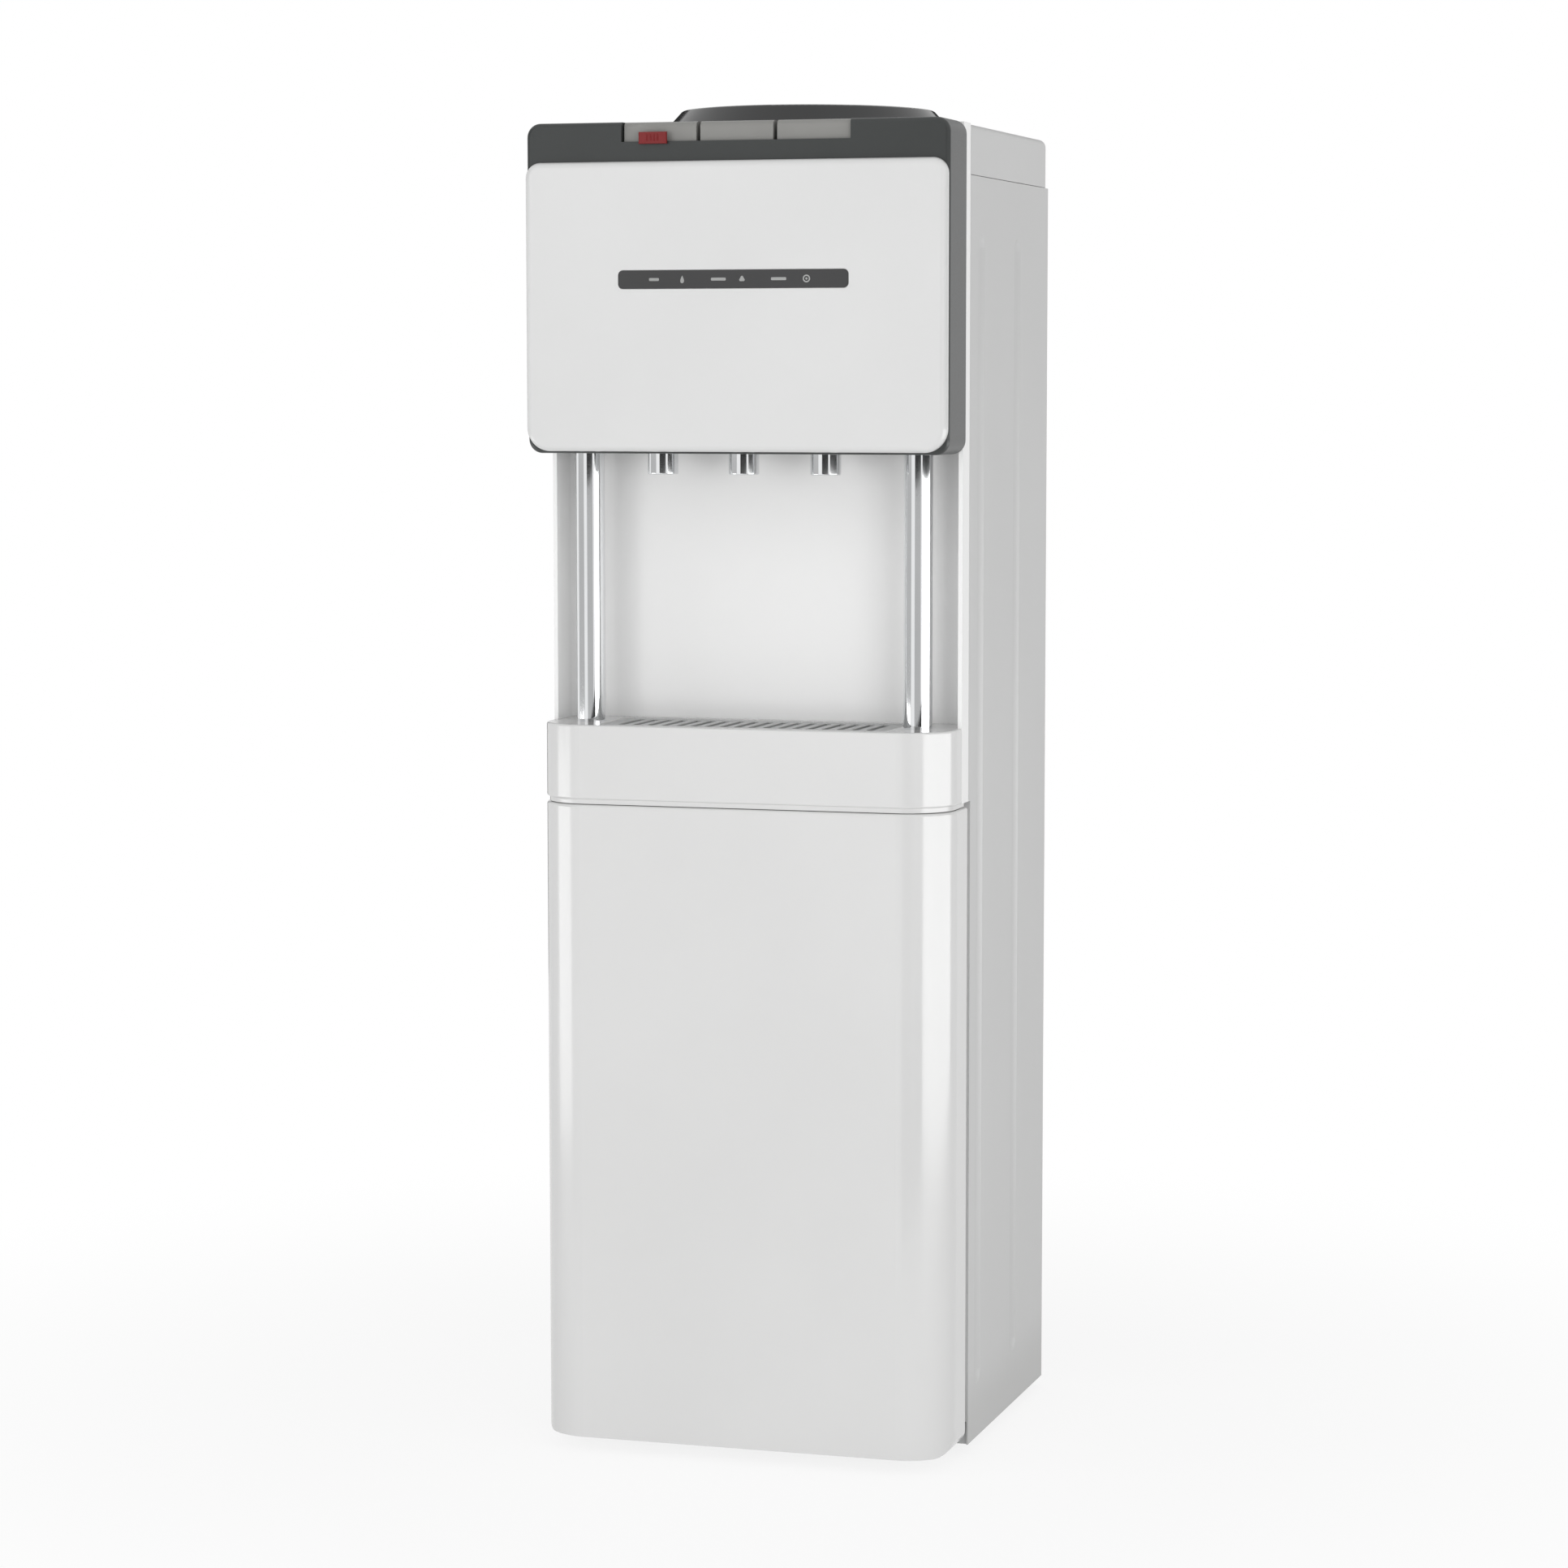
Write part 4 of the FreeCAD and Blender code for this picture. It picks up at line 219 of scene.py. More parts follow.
SHADOW_SHARE = 0.16
SHADOW_REACH = (0.3, 1.1)
PAPER_WHITE = (0.95, 0.95, 0.95, 1)
floor_stuff = bpy.data.materials.new("floor")
floor_stuff.use_nodes = True
tree = floor_stuff.node_tree
tree.nodes.clear()
ground = Shade(tree)
paper = ground.node("BsdfDiffuse", None, {"Color": PAPER_WHITE})
white = ground.node("Emission", None, {"Color": (1, 1, 1, 1), "Strength": 1.0})
place = ground.node("TexCoord", output="Object")
away = ground.node("VectorMath", {"operation": "LENGTH"}, {0: place}, 1)
share = (1.0 - SHADOW_SHARE) + away.step(*SHADOW_REACH) * SHADOW_SHARE
parts = {0: share * sharp_rays(ground), 1: paper, 2: white}
mixed = ground.node("MixShader", None, parts)
out = tree.nodes.new("ShaderNodeOutputMaterial")
tree.links.new(mixed.socket, out.inputs["Surface"])
floor_mesh = bpy.data.meshes.new("floor")
FLOOR_HALF = 6.0
floor_mesh.from_pydata(
    [(x * FLOOR_HALF, y * FLOOR_HALF, 0) for x, y in ((-1, -1), (1, -1), (1, 1), (-1, 1))],
    [],
    [(0, 1, 2, 3)],
)
floor = bpy.data.objects.new("floor", floor_mesh)
floor_mesh.materials.append(floor_stuff)
scene.collection.objects.link(floor)

MIDDLE = (0, 0, 0.5)
lamp("key", (-0.5, -3.3, 0.5), MIDDLE, (1.5, 1.2), 18)
lamp("fill", (1.9, -2.7, 0.5), MIDDLE, (1.2, 1.2), 24)
lamp("left", (-2.6, -1.6, 1.1), MIDDLE, (1.2, 2.0), 9)
lamp("right", (2.8, -0.6, 1.2), MIDDLE, (1.2, 2.0), 6)

bright_card = glow("bright_card", 3.9)
soft_card = glow("soft_card", 3.9)
pale_card = glow("pale_card", 2.0)
grey_card = glow("grey_card", 0.55)
dark_card = glow("dark_card", 0.03)
for name, centre, size, turn, stuff in (
    ("right_strip", (1.35, -0.1, 0.3425), (2.0, 0.685), math.radians(78), bright_card),
    ("right_dark", (1.35, -0.1, 0.9025), (2.0, 0.435), math.radians(78), dark_card),
    ("left_strip", (-1.3, -0.75, 0.215), (0.9, 0.43), math.radians(-62), soft_card),
    ("left_grey", (-1.3, -0.75, 0.575), (1.4, 0.29), math.radians(-62), grey_card),
    ("left_dark", (-1.3, -0.75, 1.3), (1.4, 0.7), math.radians(-62), dark_card),
    ("low_front", (0.95, -3.5, 0.31), (3.1, 0.62), 0, grey_card),
    ("dark_front", (0.95, -3.5, 0.865), (3.1, 0.48), 0, dark_card),
    ("high_right", (0.8, -3.5, 1.4), (3.44, 0.58), 0, dark_card),
    ("high_left", (-1.72, -3.5, 1.4), (1.6, 0.58), 0, pale_card),
    ("low_dark", (0.55, -0.95, 0.235), (0.9, 0.47), 0, dark_card),
    ("dark_back", (-1.6, 1.9, 0.9), (0.5, 2.0), math.radians(40), dark_card),
    ("high_back", (-0.9, 2.2, 1.35), (2.2, 0.7), math.radians(22), dark_card),
):
    card = stage_plane(name, centre, size, turn, stuff)
    card.visible_camera = False
    card.visible_diffuse = False
    card.visible_shadow = False
    card.visible_transmission = False


# Side panels
# Steel sheet with two pressed beads, powder-coated off-white in a satin finish. The oven leaves
# a fine peel, and the sheet is a little darker and duller towards its foot.
PAINT_WHITE = (0.57, 0.572, 0.57)
PAINT_FOOT = (0.51, 0.511, 0.507)


def coated(tone, foot, rise):
    """Satin powder coat that turns from the foot colour to its own over the given heights."""

    def look(place):
        grain = place.noise(850, 2)
        height = place.axis("Z").step(*rise)
        clean = place.noise(5, 2).step(0.3, 0.7).blend(times(tone, 0.975), tone)
        return {
            "Base Color": height.blend(foot, clean),
            "Roughness": 0.44 - height * 0.06 + grain * 0.08,
            "Normal": grain.relief(0.00003),
        }

    return look


side_coat = finish("side_powder_coat", coated(PAINT_WHITE, PAINT_FOOT, (0.02, 0.07)))
dress(side_coat, "left_side_panel", "right_side_panel")

# Base pan and feet
# The pan is folded steel, painted like the sides but thinner, and stands on four moulded rubber
# feet whose soles pick up dust.
PAN_GREY = (0.52, 0.525, 0.525)
FOOT_BLACK = (0.03, 0.03, 0.031)
FOOT_DUST = (0.12, 0.115, 0.105)


def rubbery(tone, dusty, dust_top):
    """Matt rubber: a coarse skin, with dust below a height."""

    def look(place):
        skin = place.noise(700, 4, 0.65)
        dust = (1 - place.axis("Z").step(0.0, dust_top)) * place.noise(60, 3).step(0.35, 0.65)
        return {
            "Base Color": dust.blend(tone, dusty),
            "Roughness": 0.62 + skin * 0.25,
            "Normal": skin.relief(0.00006),
        }

    return look


dress(finish("pan_paint", coated(PAN_GREY, PAN_GREY, (0.0, 0.01))), "base_plate")
foot_rubber = finish("foot_black_rubber", rubbery(FOOT_BLACK, FOOT_DUST, 0.008))
dress(foot_rubber, "feet", "compressor_mounts")

# Rear panel and its louvred grille
# Zinc-coated steel sheet left bare, with the flat crystals that hot dipping leaves, and the roll
# lines of the mill. The lower panel is louvred for the compressor's warm air.
ZINC_PALE = (0.56, 0.575, 0.59)
ZINC_DEEP = (0.40, 0.415, 0.43)


def dipped(place):
    crystal = place.cells(140, output="Color").axis("X")
    line = place.stretched(1, 1, 0.05).noise(500, 2)
    return {
        "Base Color": crystal.blend(ZINC_DEEP, ZINC_PALE),
        "Roughness": 0.34 + crystal * 0.14 + line * 0.06,
        "Normal": (crystal * 0.4 + line * 0.6).relief(0.00002),
    }


zinc = finish("dipped_zinc", dipped, {"Metallic": 0.85})
dress(zinc, "rear_panel", "rear_grille", "tank_shelves")

# Rear screws
# Six pan-head tapping screws, zinc plated, hold the rear panel to the folded side panels. Their
# heads are domed, with a cross recess.
SCREW_RADIUS = 0.0035
SCREW_RISE = 0.0018
SCREW_SEAT = 0.1222
SCREW_X = 0.1473
SCREW_ZS = (0.245, 0.5675, 0.914)
RECESS_LENGTH = 0.0021
RECESS_WIDTH = 0.00042
RECESS_DEPTH = 0.0011
RECESS_SLOPES = (0.0003, 0.00018)
DOME_FALL = 0.93
DOME_POWER = 2.6
ZINC_BRIGHT = (0.66, 0.665, 0.66)


def grid(points, ring=True, loop=False, caps=True):
    """The faces of a grid of points. ring joins its last column to its first, loop its last row
    to its first, and caps closes the end rows of a ring with one face each."""
    rows, columns = points.shape[:2]
    index = np.arange(rows * columns).reshape(rows, columns)
    if ring:
        index = np.hstack([index, index[:, :1]])
    if loop:
        index = np.vstack([index, index[:1]])
    corners = (index[:-1, :-1], index[:-1, 1:], index[1:, 1:], index[1:, :-1])
    faces = np.stack(corners, -1).reshape(-1, 4).tolist()
    if caps and ring and not loop:
        faces += [index[0, -2::-1].tolist(), index[-1, :-1].tolist()]
    return points.reshape(-1, 3), faces


def build(name, parts, material, body, angle=35):
    """One mesh of several grids, its normals turned outwards, smooth below an angle in degrees."""
    points, faces = [], []
    for part_points, part_faces in parts:
        start = sum(len(block) for block in points)
        points.append(part_points)
        faces += [[start + corner for corner in face] for face in part_faces]
    mesh = bpy.data.meshes.new(name)
    mesh.from_pydata(np.concatenate(points).tolist(), [], faces)
    shell = bmesh.new()
    shell.from_mesh(mesh)
    bmesh.ops.remove_doubles(shell, verts=shell.verts, dist=1e-7)
    bmesh.ops.dissolve_degenerate(shell, edges=shell.edges, dist=1e-7)
    bmesh.ops.recalc_face_normals(shell, faces=shell.faces)
    shell.to_mesh(mesh)
    shell.free()
    mesh.shade_smooth()
    mesh.set_sharp_from_angle(angle=math.radians(angle))
    mesh.materials.append(material)
    made = bpy.data.objects.new(name, mesh)
    scene.collection.objects.link(made)
    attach(made, body)
    return made


def screw_head(x, y, z):
    """Height over a disc: a dome, the root of one less a power of the radius, minus a cross-shaped
    recess where either coordinate is near zero and the other is short. It faces the back."""
    radius = np.linspace(0, 1, 22)[:, None]
    angle = np.linspace(0, 2 * np.pi, 56, endpoint=False)[None, :]
    across = radius * np.cos(angle) * SCREW_RADIUS
    up = radius * np.sin(angle) * SCREW_RADIUS
    dome = SCREW_RISE * np.sqrt(1 - DOME_FALL * radius**DOME_POWER) + 0 * angle

    def arm(along, side):
        reach = np.clip((RECESS_LENGTH - np.abs(along)) / RECESS_SLOPES[0], 0, 1)
        return reach * np.clip((RECESS_WIDTH - np.abs(side)) / RECESS_SLOPES[1] + 0.5, 0, 1)

    dome = dome - RECESS_DEPTH * np.maximum(arm(across, up), arm(up, across))
    top = np.stack([x + across, y + dome, z + up], -1)
    foot = np.stack([x + across[-1:], y + 0 * dome[-1:], z + up[-1:]], -1)
    return grid(np.concatenate([top, foot]))


def plated_zinc(place):
    film = place.noise(300, 3)
    return {
        "Base Color": film.blend(times(ZINC_BRIGHT, 0.8), ZINC_BRIGHT),
        "Roughness": 0.24 + film * 0.16,
        "Normal": film.relief(0.00001),
    }


plating = finish("zinc_plating", plated_zinc, {"Metallic": 1.0})
screws = build(
    "rear_screw_heads",
    [screw_head(side * SCREW_X, SCREW_SEAT, z) for side in (-1, 1) for z in SCREW_ZS],
    plating,
    "cabinet",
    28,
)
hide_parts("rear_screws")
dress(plating, "hinge_bracket", "hinge_pin_top")

# Condenser, drier and pipes
# Steel tube and wire in black enamel, a spun copper drier, and drawn copper pipe that has gone
# brown in patches.
ENAMEL = (0.018, 0.018, 0.019)
COPPER = (0.74, 0.40, 0.27)
COPPER_DARK = (0.36, 0.16, 0.095)


def enamelled(place):
    film = place.noise(240, 3)
    dust = place.noise(18, 3).step(0.5, 0.8)
    return {
        "Base Color": dust.blend(ENAMEL, times(ENAMEL, 2.4)),
        "Roughness": 0.24 + film * 0.08 + dust * 0.2,
        "Normal": film.relief(0.00004),
    }


def drawn_copper(place):
    film = place.noise(45, 4, 0.6)
    line = place.stretched(1, 1, 0.2).noise(600, 1)
    return {
        "Base Color": film.step(0.42, 0.68).blend(COPPER, COPPER_DARK),
        "Roughness": 0.2 + film * 0.25 + line * 0.06,
        "Normal": line.relief(0.00001),
    }


enamel = finish("black_enamel", enamelled)
dress(enamel, "condenser", "compressor")
dress(
    finish("drawn_copper", drawn_copper, {"Metallic": 1.0}),
    "filter_drier",
    "refrigerant_pipes",
    "evaporator_coil",
)

# Compressor shell
# Two deep-drawn steel cups welded round the middle. A moulded cover with upright ribs clips over
# the terminals and the start relay.
CAN_CENTRE = (-0.04, 0.082)
CAN_RADIUS = 0.058
WELD_HEIGHT = 0.1
WELD_SIZE = 0.0022
WELD_POINTS = 120
WELD_WAVE = 0.00025
COVER_SIZE = (0.046, 0.013, 0.052)
COVER_HEIGHT = 0.067
COVER_OVERLAP = 0.004
COVER_ROUNDS = (0.006, 0.003)
RIB_SIZE = (0.0026, 0.0016, 0.034)
RIB_ROUNDS = (0.0012, 0.0005)
RIB_PITCH = 0.006
RIB_OUT = 0.0063
COVER_BLACK = (0.028, 0.028, 0.03)


def round_points(turns):
    """Points of a unit circle: the cosine and the sine of each turn."""
    return np.stack([np.cos(turns), np.sin(turns)], -1)


def rounded_outline(width, height, radius, steps=7):
    """A rectangle with round corners: each corner is a quarter circle about its own centre."""
    quarter = np.linspace(0, np.pi / 2, steps)
    turns = (quarter[None, :] + np.arange(4)[:, None] * np.pi / 2).ravel()
    reach = (width / 2 - radius, height / 2 - radius)
    centres = np.array([(1, 1), (-1, 1), (-1, -1), (1, -1)]) * reach
    return np.repeat(centres, steps, 0) + radius * round_points(turns)


def carried(path, outline, up, closed=False):
    """A flat outline carried along a path. Its first number goes square to the path and to up,
    and its second the way that is left, so the outline stays square to the path."""
    path = np.asarray(path, float)
    if closed:
        ahead = np.roll(path, -1, 0) - np.roll(path, 1, 0)
    else:
        ahead = np.gradient(path, axis=0)
    ahead /= np.linalg.norm(ahead, axis=1, keepdims=True)
    side = np.cross(up, ahead)
    side /= np.linalg.norm(side, axis=1, keepdims=True)
    rise = np.cross(ahead, side)
    across, out = outline[None, :, :1], outline[None, :, 1:]
    points = path[:, None] + across * side[:, None] + out * rise[:, None]
    return grid(points, loop=closed)


def circle(radius, count):
    """Points of a circle: radius times the cosine and the sine of even turns."""
    return radius * round_points(np.linspace(0, 2 * np.pi, count, endpoint=False))


def stood_up(flat, y):
    """Points of a front view, across and up, placed at one depth."""
    return np.column_stack([flat[:, 0], np.full(len(flat), y), flat[:, 1]])


def box_pad(centre, size, radius, edge):
    """A block with round corners in its front view and a small round on its front edge. Layers of
    one outline shrink as they come forward: by the edge size times one less the cosine."""
    turn = np.linspace(0, np.pi / 2, 5)
    inset = np.concatenate([[0], edge * (1 - np.cos(turn))])
    depth = np.concatenate([[size[1] / 2], -size[1] / 2 + edge * (1 - np.sin(turn))])
    layers = []
    for shrink, y in zip(inset, depth):
        width, height = size[0] - 2 * shrink, size[2] - 2 * shrink
        flat = rounded_outline(width, height, max(radius - shrink, 1e-4))
        layers.append(stood_up(flat + (centre[0], centre[2]), centre[1] + y))
    return grid(np.array(layers))


def grained(tone, shine, spread, depth, scale=1500, shade=0.86):
    """A moulded or cast face: fine grain in its relief and shine, and clouds in its colour."""

    def look(place):
        grain = place.noise(scale, 2)
        cloud = place.noise(9, 3)
        return {
            "Base Color": cloud.step(0.25, 0.75).blend(times(tone, shade), tone),
            "Roughness": shine + grain * spread,
            "Normal": grain.relief(depth),
        }

    return look


wave = WELD_WAVE * np.sin(np.arange(WELD_POINTS) * 2 * np.pi / 6)
weld_path = np.column_stack([circle(CAN_RADIUS, WELD_POINTS) + CAN_CENTRE, WELD_HEIGHT + wave])
build(
    "compressor_weld",
    [carried(weld_path, circle(1, 10) * (WELD_SIZE * 0.5, WELD_SIZE), (0, 0, 1), True)],
    enamel,
    "cabinet",
    60,
)
cover_y = CAN_CENTRE[1] - CAN_RADIUS - COVER_SIZE[1] / 2
cover_block = box_pad(
    (CAN_CENTRE[0], cover_y + COVER_OVERLAP / 2, COVER_HEIGHT),
    (COVER_SIZE[0], COVER_SIZE[1] + COVER_OVERLAP, COVER_SIZE[2]),
    *COVER_ROUNDS,
)
rib_places = [(CAN_CENTRE[0] + RIB_PITCH * step, cover_y - RIB_OUT) for step in range(-3, 4)]
ribs = [box_pad((x, y, COVER_HEIGHT), RIB_SIZE, *RIB_ROUNDS) for x, y in rib_places]
cover_black = finish("cover_black", grained(COVER_BLACK, 0.42, 0.2, 0.00004))
build("terminal_cover", [cover_block, *ribs], cover_black, "cabinet")

# Tanks
# Both tanks are drawn stainless steel. The hot one wears a heater band cased in steel and two
# snap thermostats, and the cold one sits in a jacket of rigid foam.
STAINLESS = (0.62, 0.62, 0.61)
HEATER = (0.50, 0.49, 0.47)
FOAM = (0.80, 0.72, 0.53)
HOSE_MILK = (0.74, 0.745, 0.735)
PHENOLIC = (0.055, 0.04, 0.032)


def brushed(tone):
    """Steel brushed around an upright axis: fine level lines in its shine and its relief."""

    def look(place):
        line = place.stretched(0.04, 0.04, 1).noise(1600, 3)
        film = place.noise(20, 3)
        return {
            "Base Color": film.blend(times(tone, 0.88), tone),
            "Roughness": 0.2 + line * 0.22,
            "Normal": line.relief(0.00002),
        }

    return look


def blown_foam(place):
    cell = place.cells(330)
    skin = place.noise(25, 4, 0.6)
    return {
        "Base Color": (skin * 0.7 + cell * 0.4).blend(times(FOAM, 0.8), FOAM),
        "Roughness": 0.8 + cell * 0.15,
        "Normal": (cell * 0.7 + skin * 0.3).relief(0.0006),
    }


def milky(place):
    cloud = place.noise(50, 3)
    return {
        "Base Color": cloud.blend(times(HOSE_MILK, 0.93), HOSE_MILK),
        "Roughness": 0.3 + cloud * 0.12,
    }


dress(finish("brushed_stainless", brushed(STAINLESS), {"Metallic": 1.0}), "cold_tank", "hot_tank")
dress(finish("heater_steel_band", brushed(HEATER), {"Metallic": 0.9}), "heater_band")
dress(finish("blown_foam", blown_foam), "foam_jacket")
silicone_depth = {"Subsurface Weight": 0.25, "Subsurface Scale": 0.002}
dress(finish("milky_silicone", milky, silicone_depth), "water_hoses")
dress(finish("phenolic_body", grained(PHENOLIC, 0.4, 0.25, 0.00005, 600, 0.6)), "thermostats")

# Cabinet liner and inner door
# One vacuum-formed sheet of white styrene lines the store behind the door, with a soft leather
# grain, and the same sheet backs the door.
LINER_WHITE = (0.79, 0.79, 0.78)
formed_white = finish("formed_liner", grained(LINER_WHITE, 0.42, 0.18, 0.00012, 520, 0.97))
dress(formed_white, "cabinet_liner", "door_inner")

# Door seal
# A grey magnetic gasket that is pushed into the inner door: a flat foot, a narrow bellows and the
# wide lip with the magnet, in one ring with welded corners.
SEAL_HALF = (0.14, 0.223)
SEAL_MIDDLE_Z = 0.247
SEAL_BACK = -0.084
SEAL_FRONT = -0.0788
SEAL_CORNER = 0.0046
SEAL_HALF_WIDTH = 0.0045
SEAL_GREY = (0.60, 0.605, 0.60)
BELLOWS_HALF = (
    (1.0, 0.0), (1.0, 0.16), (0.55, 0.22), (0.5, 0.34), (0.74, 0.45), (0.74, 0.55),
    (0.5, 0.66), (0.6, 0.72), (0.95, 0.78), (1.0, 0.9), (0.85, 1.0),
)
half = np.array(BELLOWS_HALF)
bellows = np.concatenate([half * (-1, 1), half[::-1]]) * (SEAL_HALF_WIDTH, SEAL_FRONT - SEAL_BACK)
seal_line = rounded_outline(2 * SEAL_HALF[0], 2 * SEAL_HALF[1], SEAL_CORNER, 5)
seal_path = stood_up(seal_line + (0, SEAL_MIDDLE_Z), SEAL_BACK)
seal_ring = carried(seal_path, bellows, (0, 1, 0), True)
seal_stuff = finish("seal_grey_rubber", grained(SEAL_GREY, 0.5, 0.2, 0.00003, 900, 0.93))
seal = build("door_gasket", [seal_ring], seal_stuff, "door", 40)
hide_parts("door_seal")

# Door
# The outer door is one polished white ABS moulding with deep round corners, on white nylon bushes
# that turn on zinc-plated pins.
MOULD_WHITE = (0.69, 0.69, 0.687)
NYLON = (0.76, 0.755, 0.72)


def polished(tone, shine=0.16, haze=0.06):
    """Gloss ABS: faint clouds in its colour, handling haze in its shine and a trace of peel."""

    def look(place):
        wiped = place.stretched(1, 1, 0.3).noise(30, 4, 0.6)
        cloud = place.noise(6, 3).step(0.3, 0.7)
        return {
            "Base Color": cloud.blend(times(tone, 0.975), tone),
            "Roughness": shine + wiped.step(0.45, 0.75) * haze,
            "Normal": place.noise(420, 1).relief(0.000012),
        }

    return look


mould_white = finish("polished_white", polished(MOULD_WHITE), {"IOR": 1.62})
dress(mould_white, "door_panel", "tray_housing")
nylon_depth = {"Subsurface Weight": 0.1, "Subsurface Scale": 0.002}
nylon = finish("natural_nylon", grained(NYLON, 0.36, 0.2, 0.00002, 800, 0.95), nylon_depth)
dress(nylon, "push_rod_hot", "push_rod_ambient", "push_rod_cold", "tap_bodies")
dress(nylon, "door_bushes", "water_guard", "drain_spout")

# Lip of the tray housing
# The tray housing carries a thin white lip that hangs behind the top of the door, so the joint
# between them shows as a soft grey line and not as a hole.
LIP_OUTLINE = (0.1522, -0.1441, 0.0336)
LIP_BACK = -0.086
LIP_LEVELS = (0.4784, 0.4826)
LIP_THICK = 0.0014
LIP_ROUND = 0.0004
half, front, corner = LIP_OUTLINE
turn = np.linspace(0, np.pi / 2, 14)
arc = np.stack([half - corner + corner * np.sin(turn), front + corner - corner * np.cos(turn)], -1)
run = np.linspace(arc[-1, 1], LIP_BACK, 8)[1:]
right = np.concatenate([arc, np.column_stack([np.full(len(run), half), run])])
plan = np.concatenate([right[::-1] * (-1, 1), right])
lip_height = LIP_LEVELS[1] - LIP_LEVELS[0]
lip_path = np.column_stack([plan, np.full(len(plan), sum(LIP_LEVELS) / 2)])
lip_outline = rounded_outline(LIP_THICK, lip_height, LIP_ROUND, 4)
lip = [carried(lip_path, lip_outline, (0, 0, 1))]
build("housing_lip", lip, mould_white, "cabinet")

# Front frame of the alcove
# A white ABS moulding makes the alcove's back wall and flanks, and goes on up behind the head to
# the lid. Its white is painted brighter than the door's white, as painted light in the shaded
# recess.
# Painted light: this white is raised above the door's to make up for the shade inside the alcove.
ALCOVE_WHITE_PAINTED_LIGHT = (0.90, 0.90, 0.897)
dress(finish("alcove_white_painted_light", polished(ALCOVE_WHITE_PAINTED_LIGHT, 0.22), {"IOR": 1.5}), "front_frame")

# Drip tray and its grille
# The loose tray is pale grey ABS, with water marks in its pan. The grille over it is a flat
# moulding with long slots.
TRAY_PALE = (0.62, 0.622, 0.62)
GRILLE_GREY = (0.47, 0.475, 0.475)


def water_marked(tone):
    """Satin ABS with the pale rings that drops leave: thin bands of a cell pattern."""

    def look(place):
        cell = place.cells(110)
        band = cell.step(0.28, 0.34) * (1 - cell.step(0.36, 0.44))
        rim = band * place.noise(35, 2).step(0.5, 0.6)
        return {
            "Base Color": rim.blend(tone, times(tone, 1.12)),
            "Roughness": 0.3 + rim * 0.25 + place.noise(900, 2) * 0.08,
            "Normal": place.noise(900, 2).relief(0.00001),
        }

    return look


dress(finish("tray_pale_grey", water_marked(TRAY_PALE)), "drip_tray")
dress(finish("grille_grey", water_marked(GRILLE_GREY)), "drip_grille")

# Columns and nozzles
# The columns and nozzles are chrome-plated brass tube, bright with a faint wipe pattern.
CHROME = (0.80, 0.81, 0.82)


def plated(place):
    wipe = place.stretched(1, 1, 0.15).noise(160, 2)
    film = (wipe * 0.5 + place.noise(24, 2) * 0.5).step(0.3, 0.7)
    return {
        "Base Color": film.blend(times(CHROME, 0.95), CHROME),
        "Roughness": 0.035 + wipe * 0.03,
    }


dress(finish("bright_chrome", plated, {"Metallic": 1.0}), "columns", "tap_nozzles")

# Valve springs and key axle
# A stainless wire spring with closed ends holds each valve disc shut. The keys turn on one
# straight rod of the same steel.
WIRE_STEEL = (0.58, 0.58, 0.57)
TAPS = (("hot", -0.061), ("ambient", 0.0), ("cold", 0.061))
TAP_Y = -0.1265
SPRING_RADIUS = 0.005
SPRING_WIRE = 0.0005
SPRING_SEAT = 0.741
SPRING_TOP = 0.7576
SPRING_TURNS = 7
TURN_POINTS = 28
WIRE_ROOM = 1.1 * SPRING_WIRE
CLOSED_PITCH = 0.00106
wire_steel = finish("wire_steel", brushed(WIRE_STEEL), {"Metallic": 1.0})
dress(wire_steel, "button_axle")


def coil_line(x):
    """The line of a spring's wire: even turns about an upright axis, whose height rises by little
    more than the wire in the first and last turn and evenly in between."""
    turns = np.linspace(0, SPRING_TURNS, SPRING_TURNS * TURN_POINTS)
    height = SPRING_TOP - SPRING_SEAT - 2 * WIRE_ROOM
    stops = (0, 1, SPRING_TURNS - 1, SPRING_TURNS)
    rise = np.interp(turns, stops, (0, CLOSED_PITCH, height - CLOSED_PITCH, height))
    around = SPRING_RADIUS * round_points(2 * np.pi * turns) + (x, TAP_Y)
    return np.column_stack([around, SPRING_SEAT + WIRE_ROOM + rise])


for tap, x in TAPS:
    wire = [carried(coil_line(x), circle(SPRING_WIRE, 10), (0, 0, 1))]
    spring = build(f"spring_{tap}", wire, wire_steel, "cabinet", 60)
    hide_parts(f"valve_spring_{tap}")
    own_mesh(spring)

# Head shell
# One dark grey ABS moulding with a fine spark-eroded grain carries the keys, the head panel and
# the lights.
SHELL_GREY = (0.036, 0.0395, 0.039)
dress(finish("shell_dark_grey", grained(SHELL_GREY, 0.3, 0.14, 0.00002)), "head_shell")

# Keys
# Three light grey ABS keys rock on one steel axle, over the push rods of the taps.
KEY_GREY = (0.27, 0.268, 0.256)
key_grey = finish("key_light_grey", grained(KEY_GREY, 0.3, 0.12, 0.00001))
dress(key_grey, "button_hot", "button_ambient", "button_cold")

# Child lock
# The red slider on the hot key blocks it until it is pushed aside. Four moulded ridges give the
# finger a hold.
LOCK_RED = (0.19, 0.003, 0.004)
LOCK_FRONT = -0.1501
LOCK_MIDDLE = (-0.0604, 0.9555)
RIDGE_PITCH = 0.0026
RIDGE_HEIGHT = 0.0048
RIDGE_SECTION = (0.0004, 0.0005)
lock_red = finish("lock_red_gloss", grained(LOCK_RED, 0.32, 0.1, 0.000008))
dress(lock_red, "child_lock_slider")
ridge_rise = np.linspace(-0.5, 0.5, 5) * RIDGE_HEIGHT
ridges = []
for step in (-1.5, -0.5, 0.5, 1.5):
    spots = np.column_stack([np.full(5, RIDGE_PITCH * step), ridge_rise]) + LOCK_MIDDLE
    section = circle(1, 10) * RIDGE_SECTION
    ridges.append(carried(stood_up(spots, LOCK_FRONT), section, (1, 0, 0)))
build("lock_ridges", ridges, lock_red, "child_lock", 50)

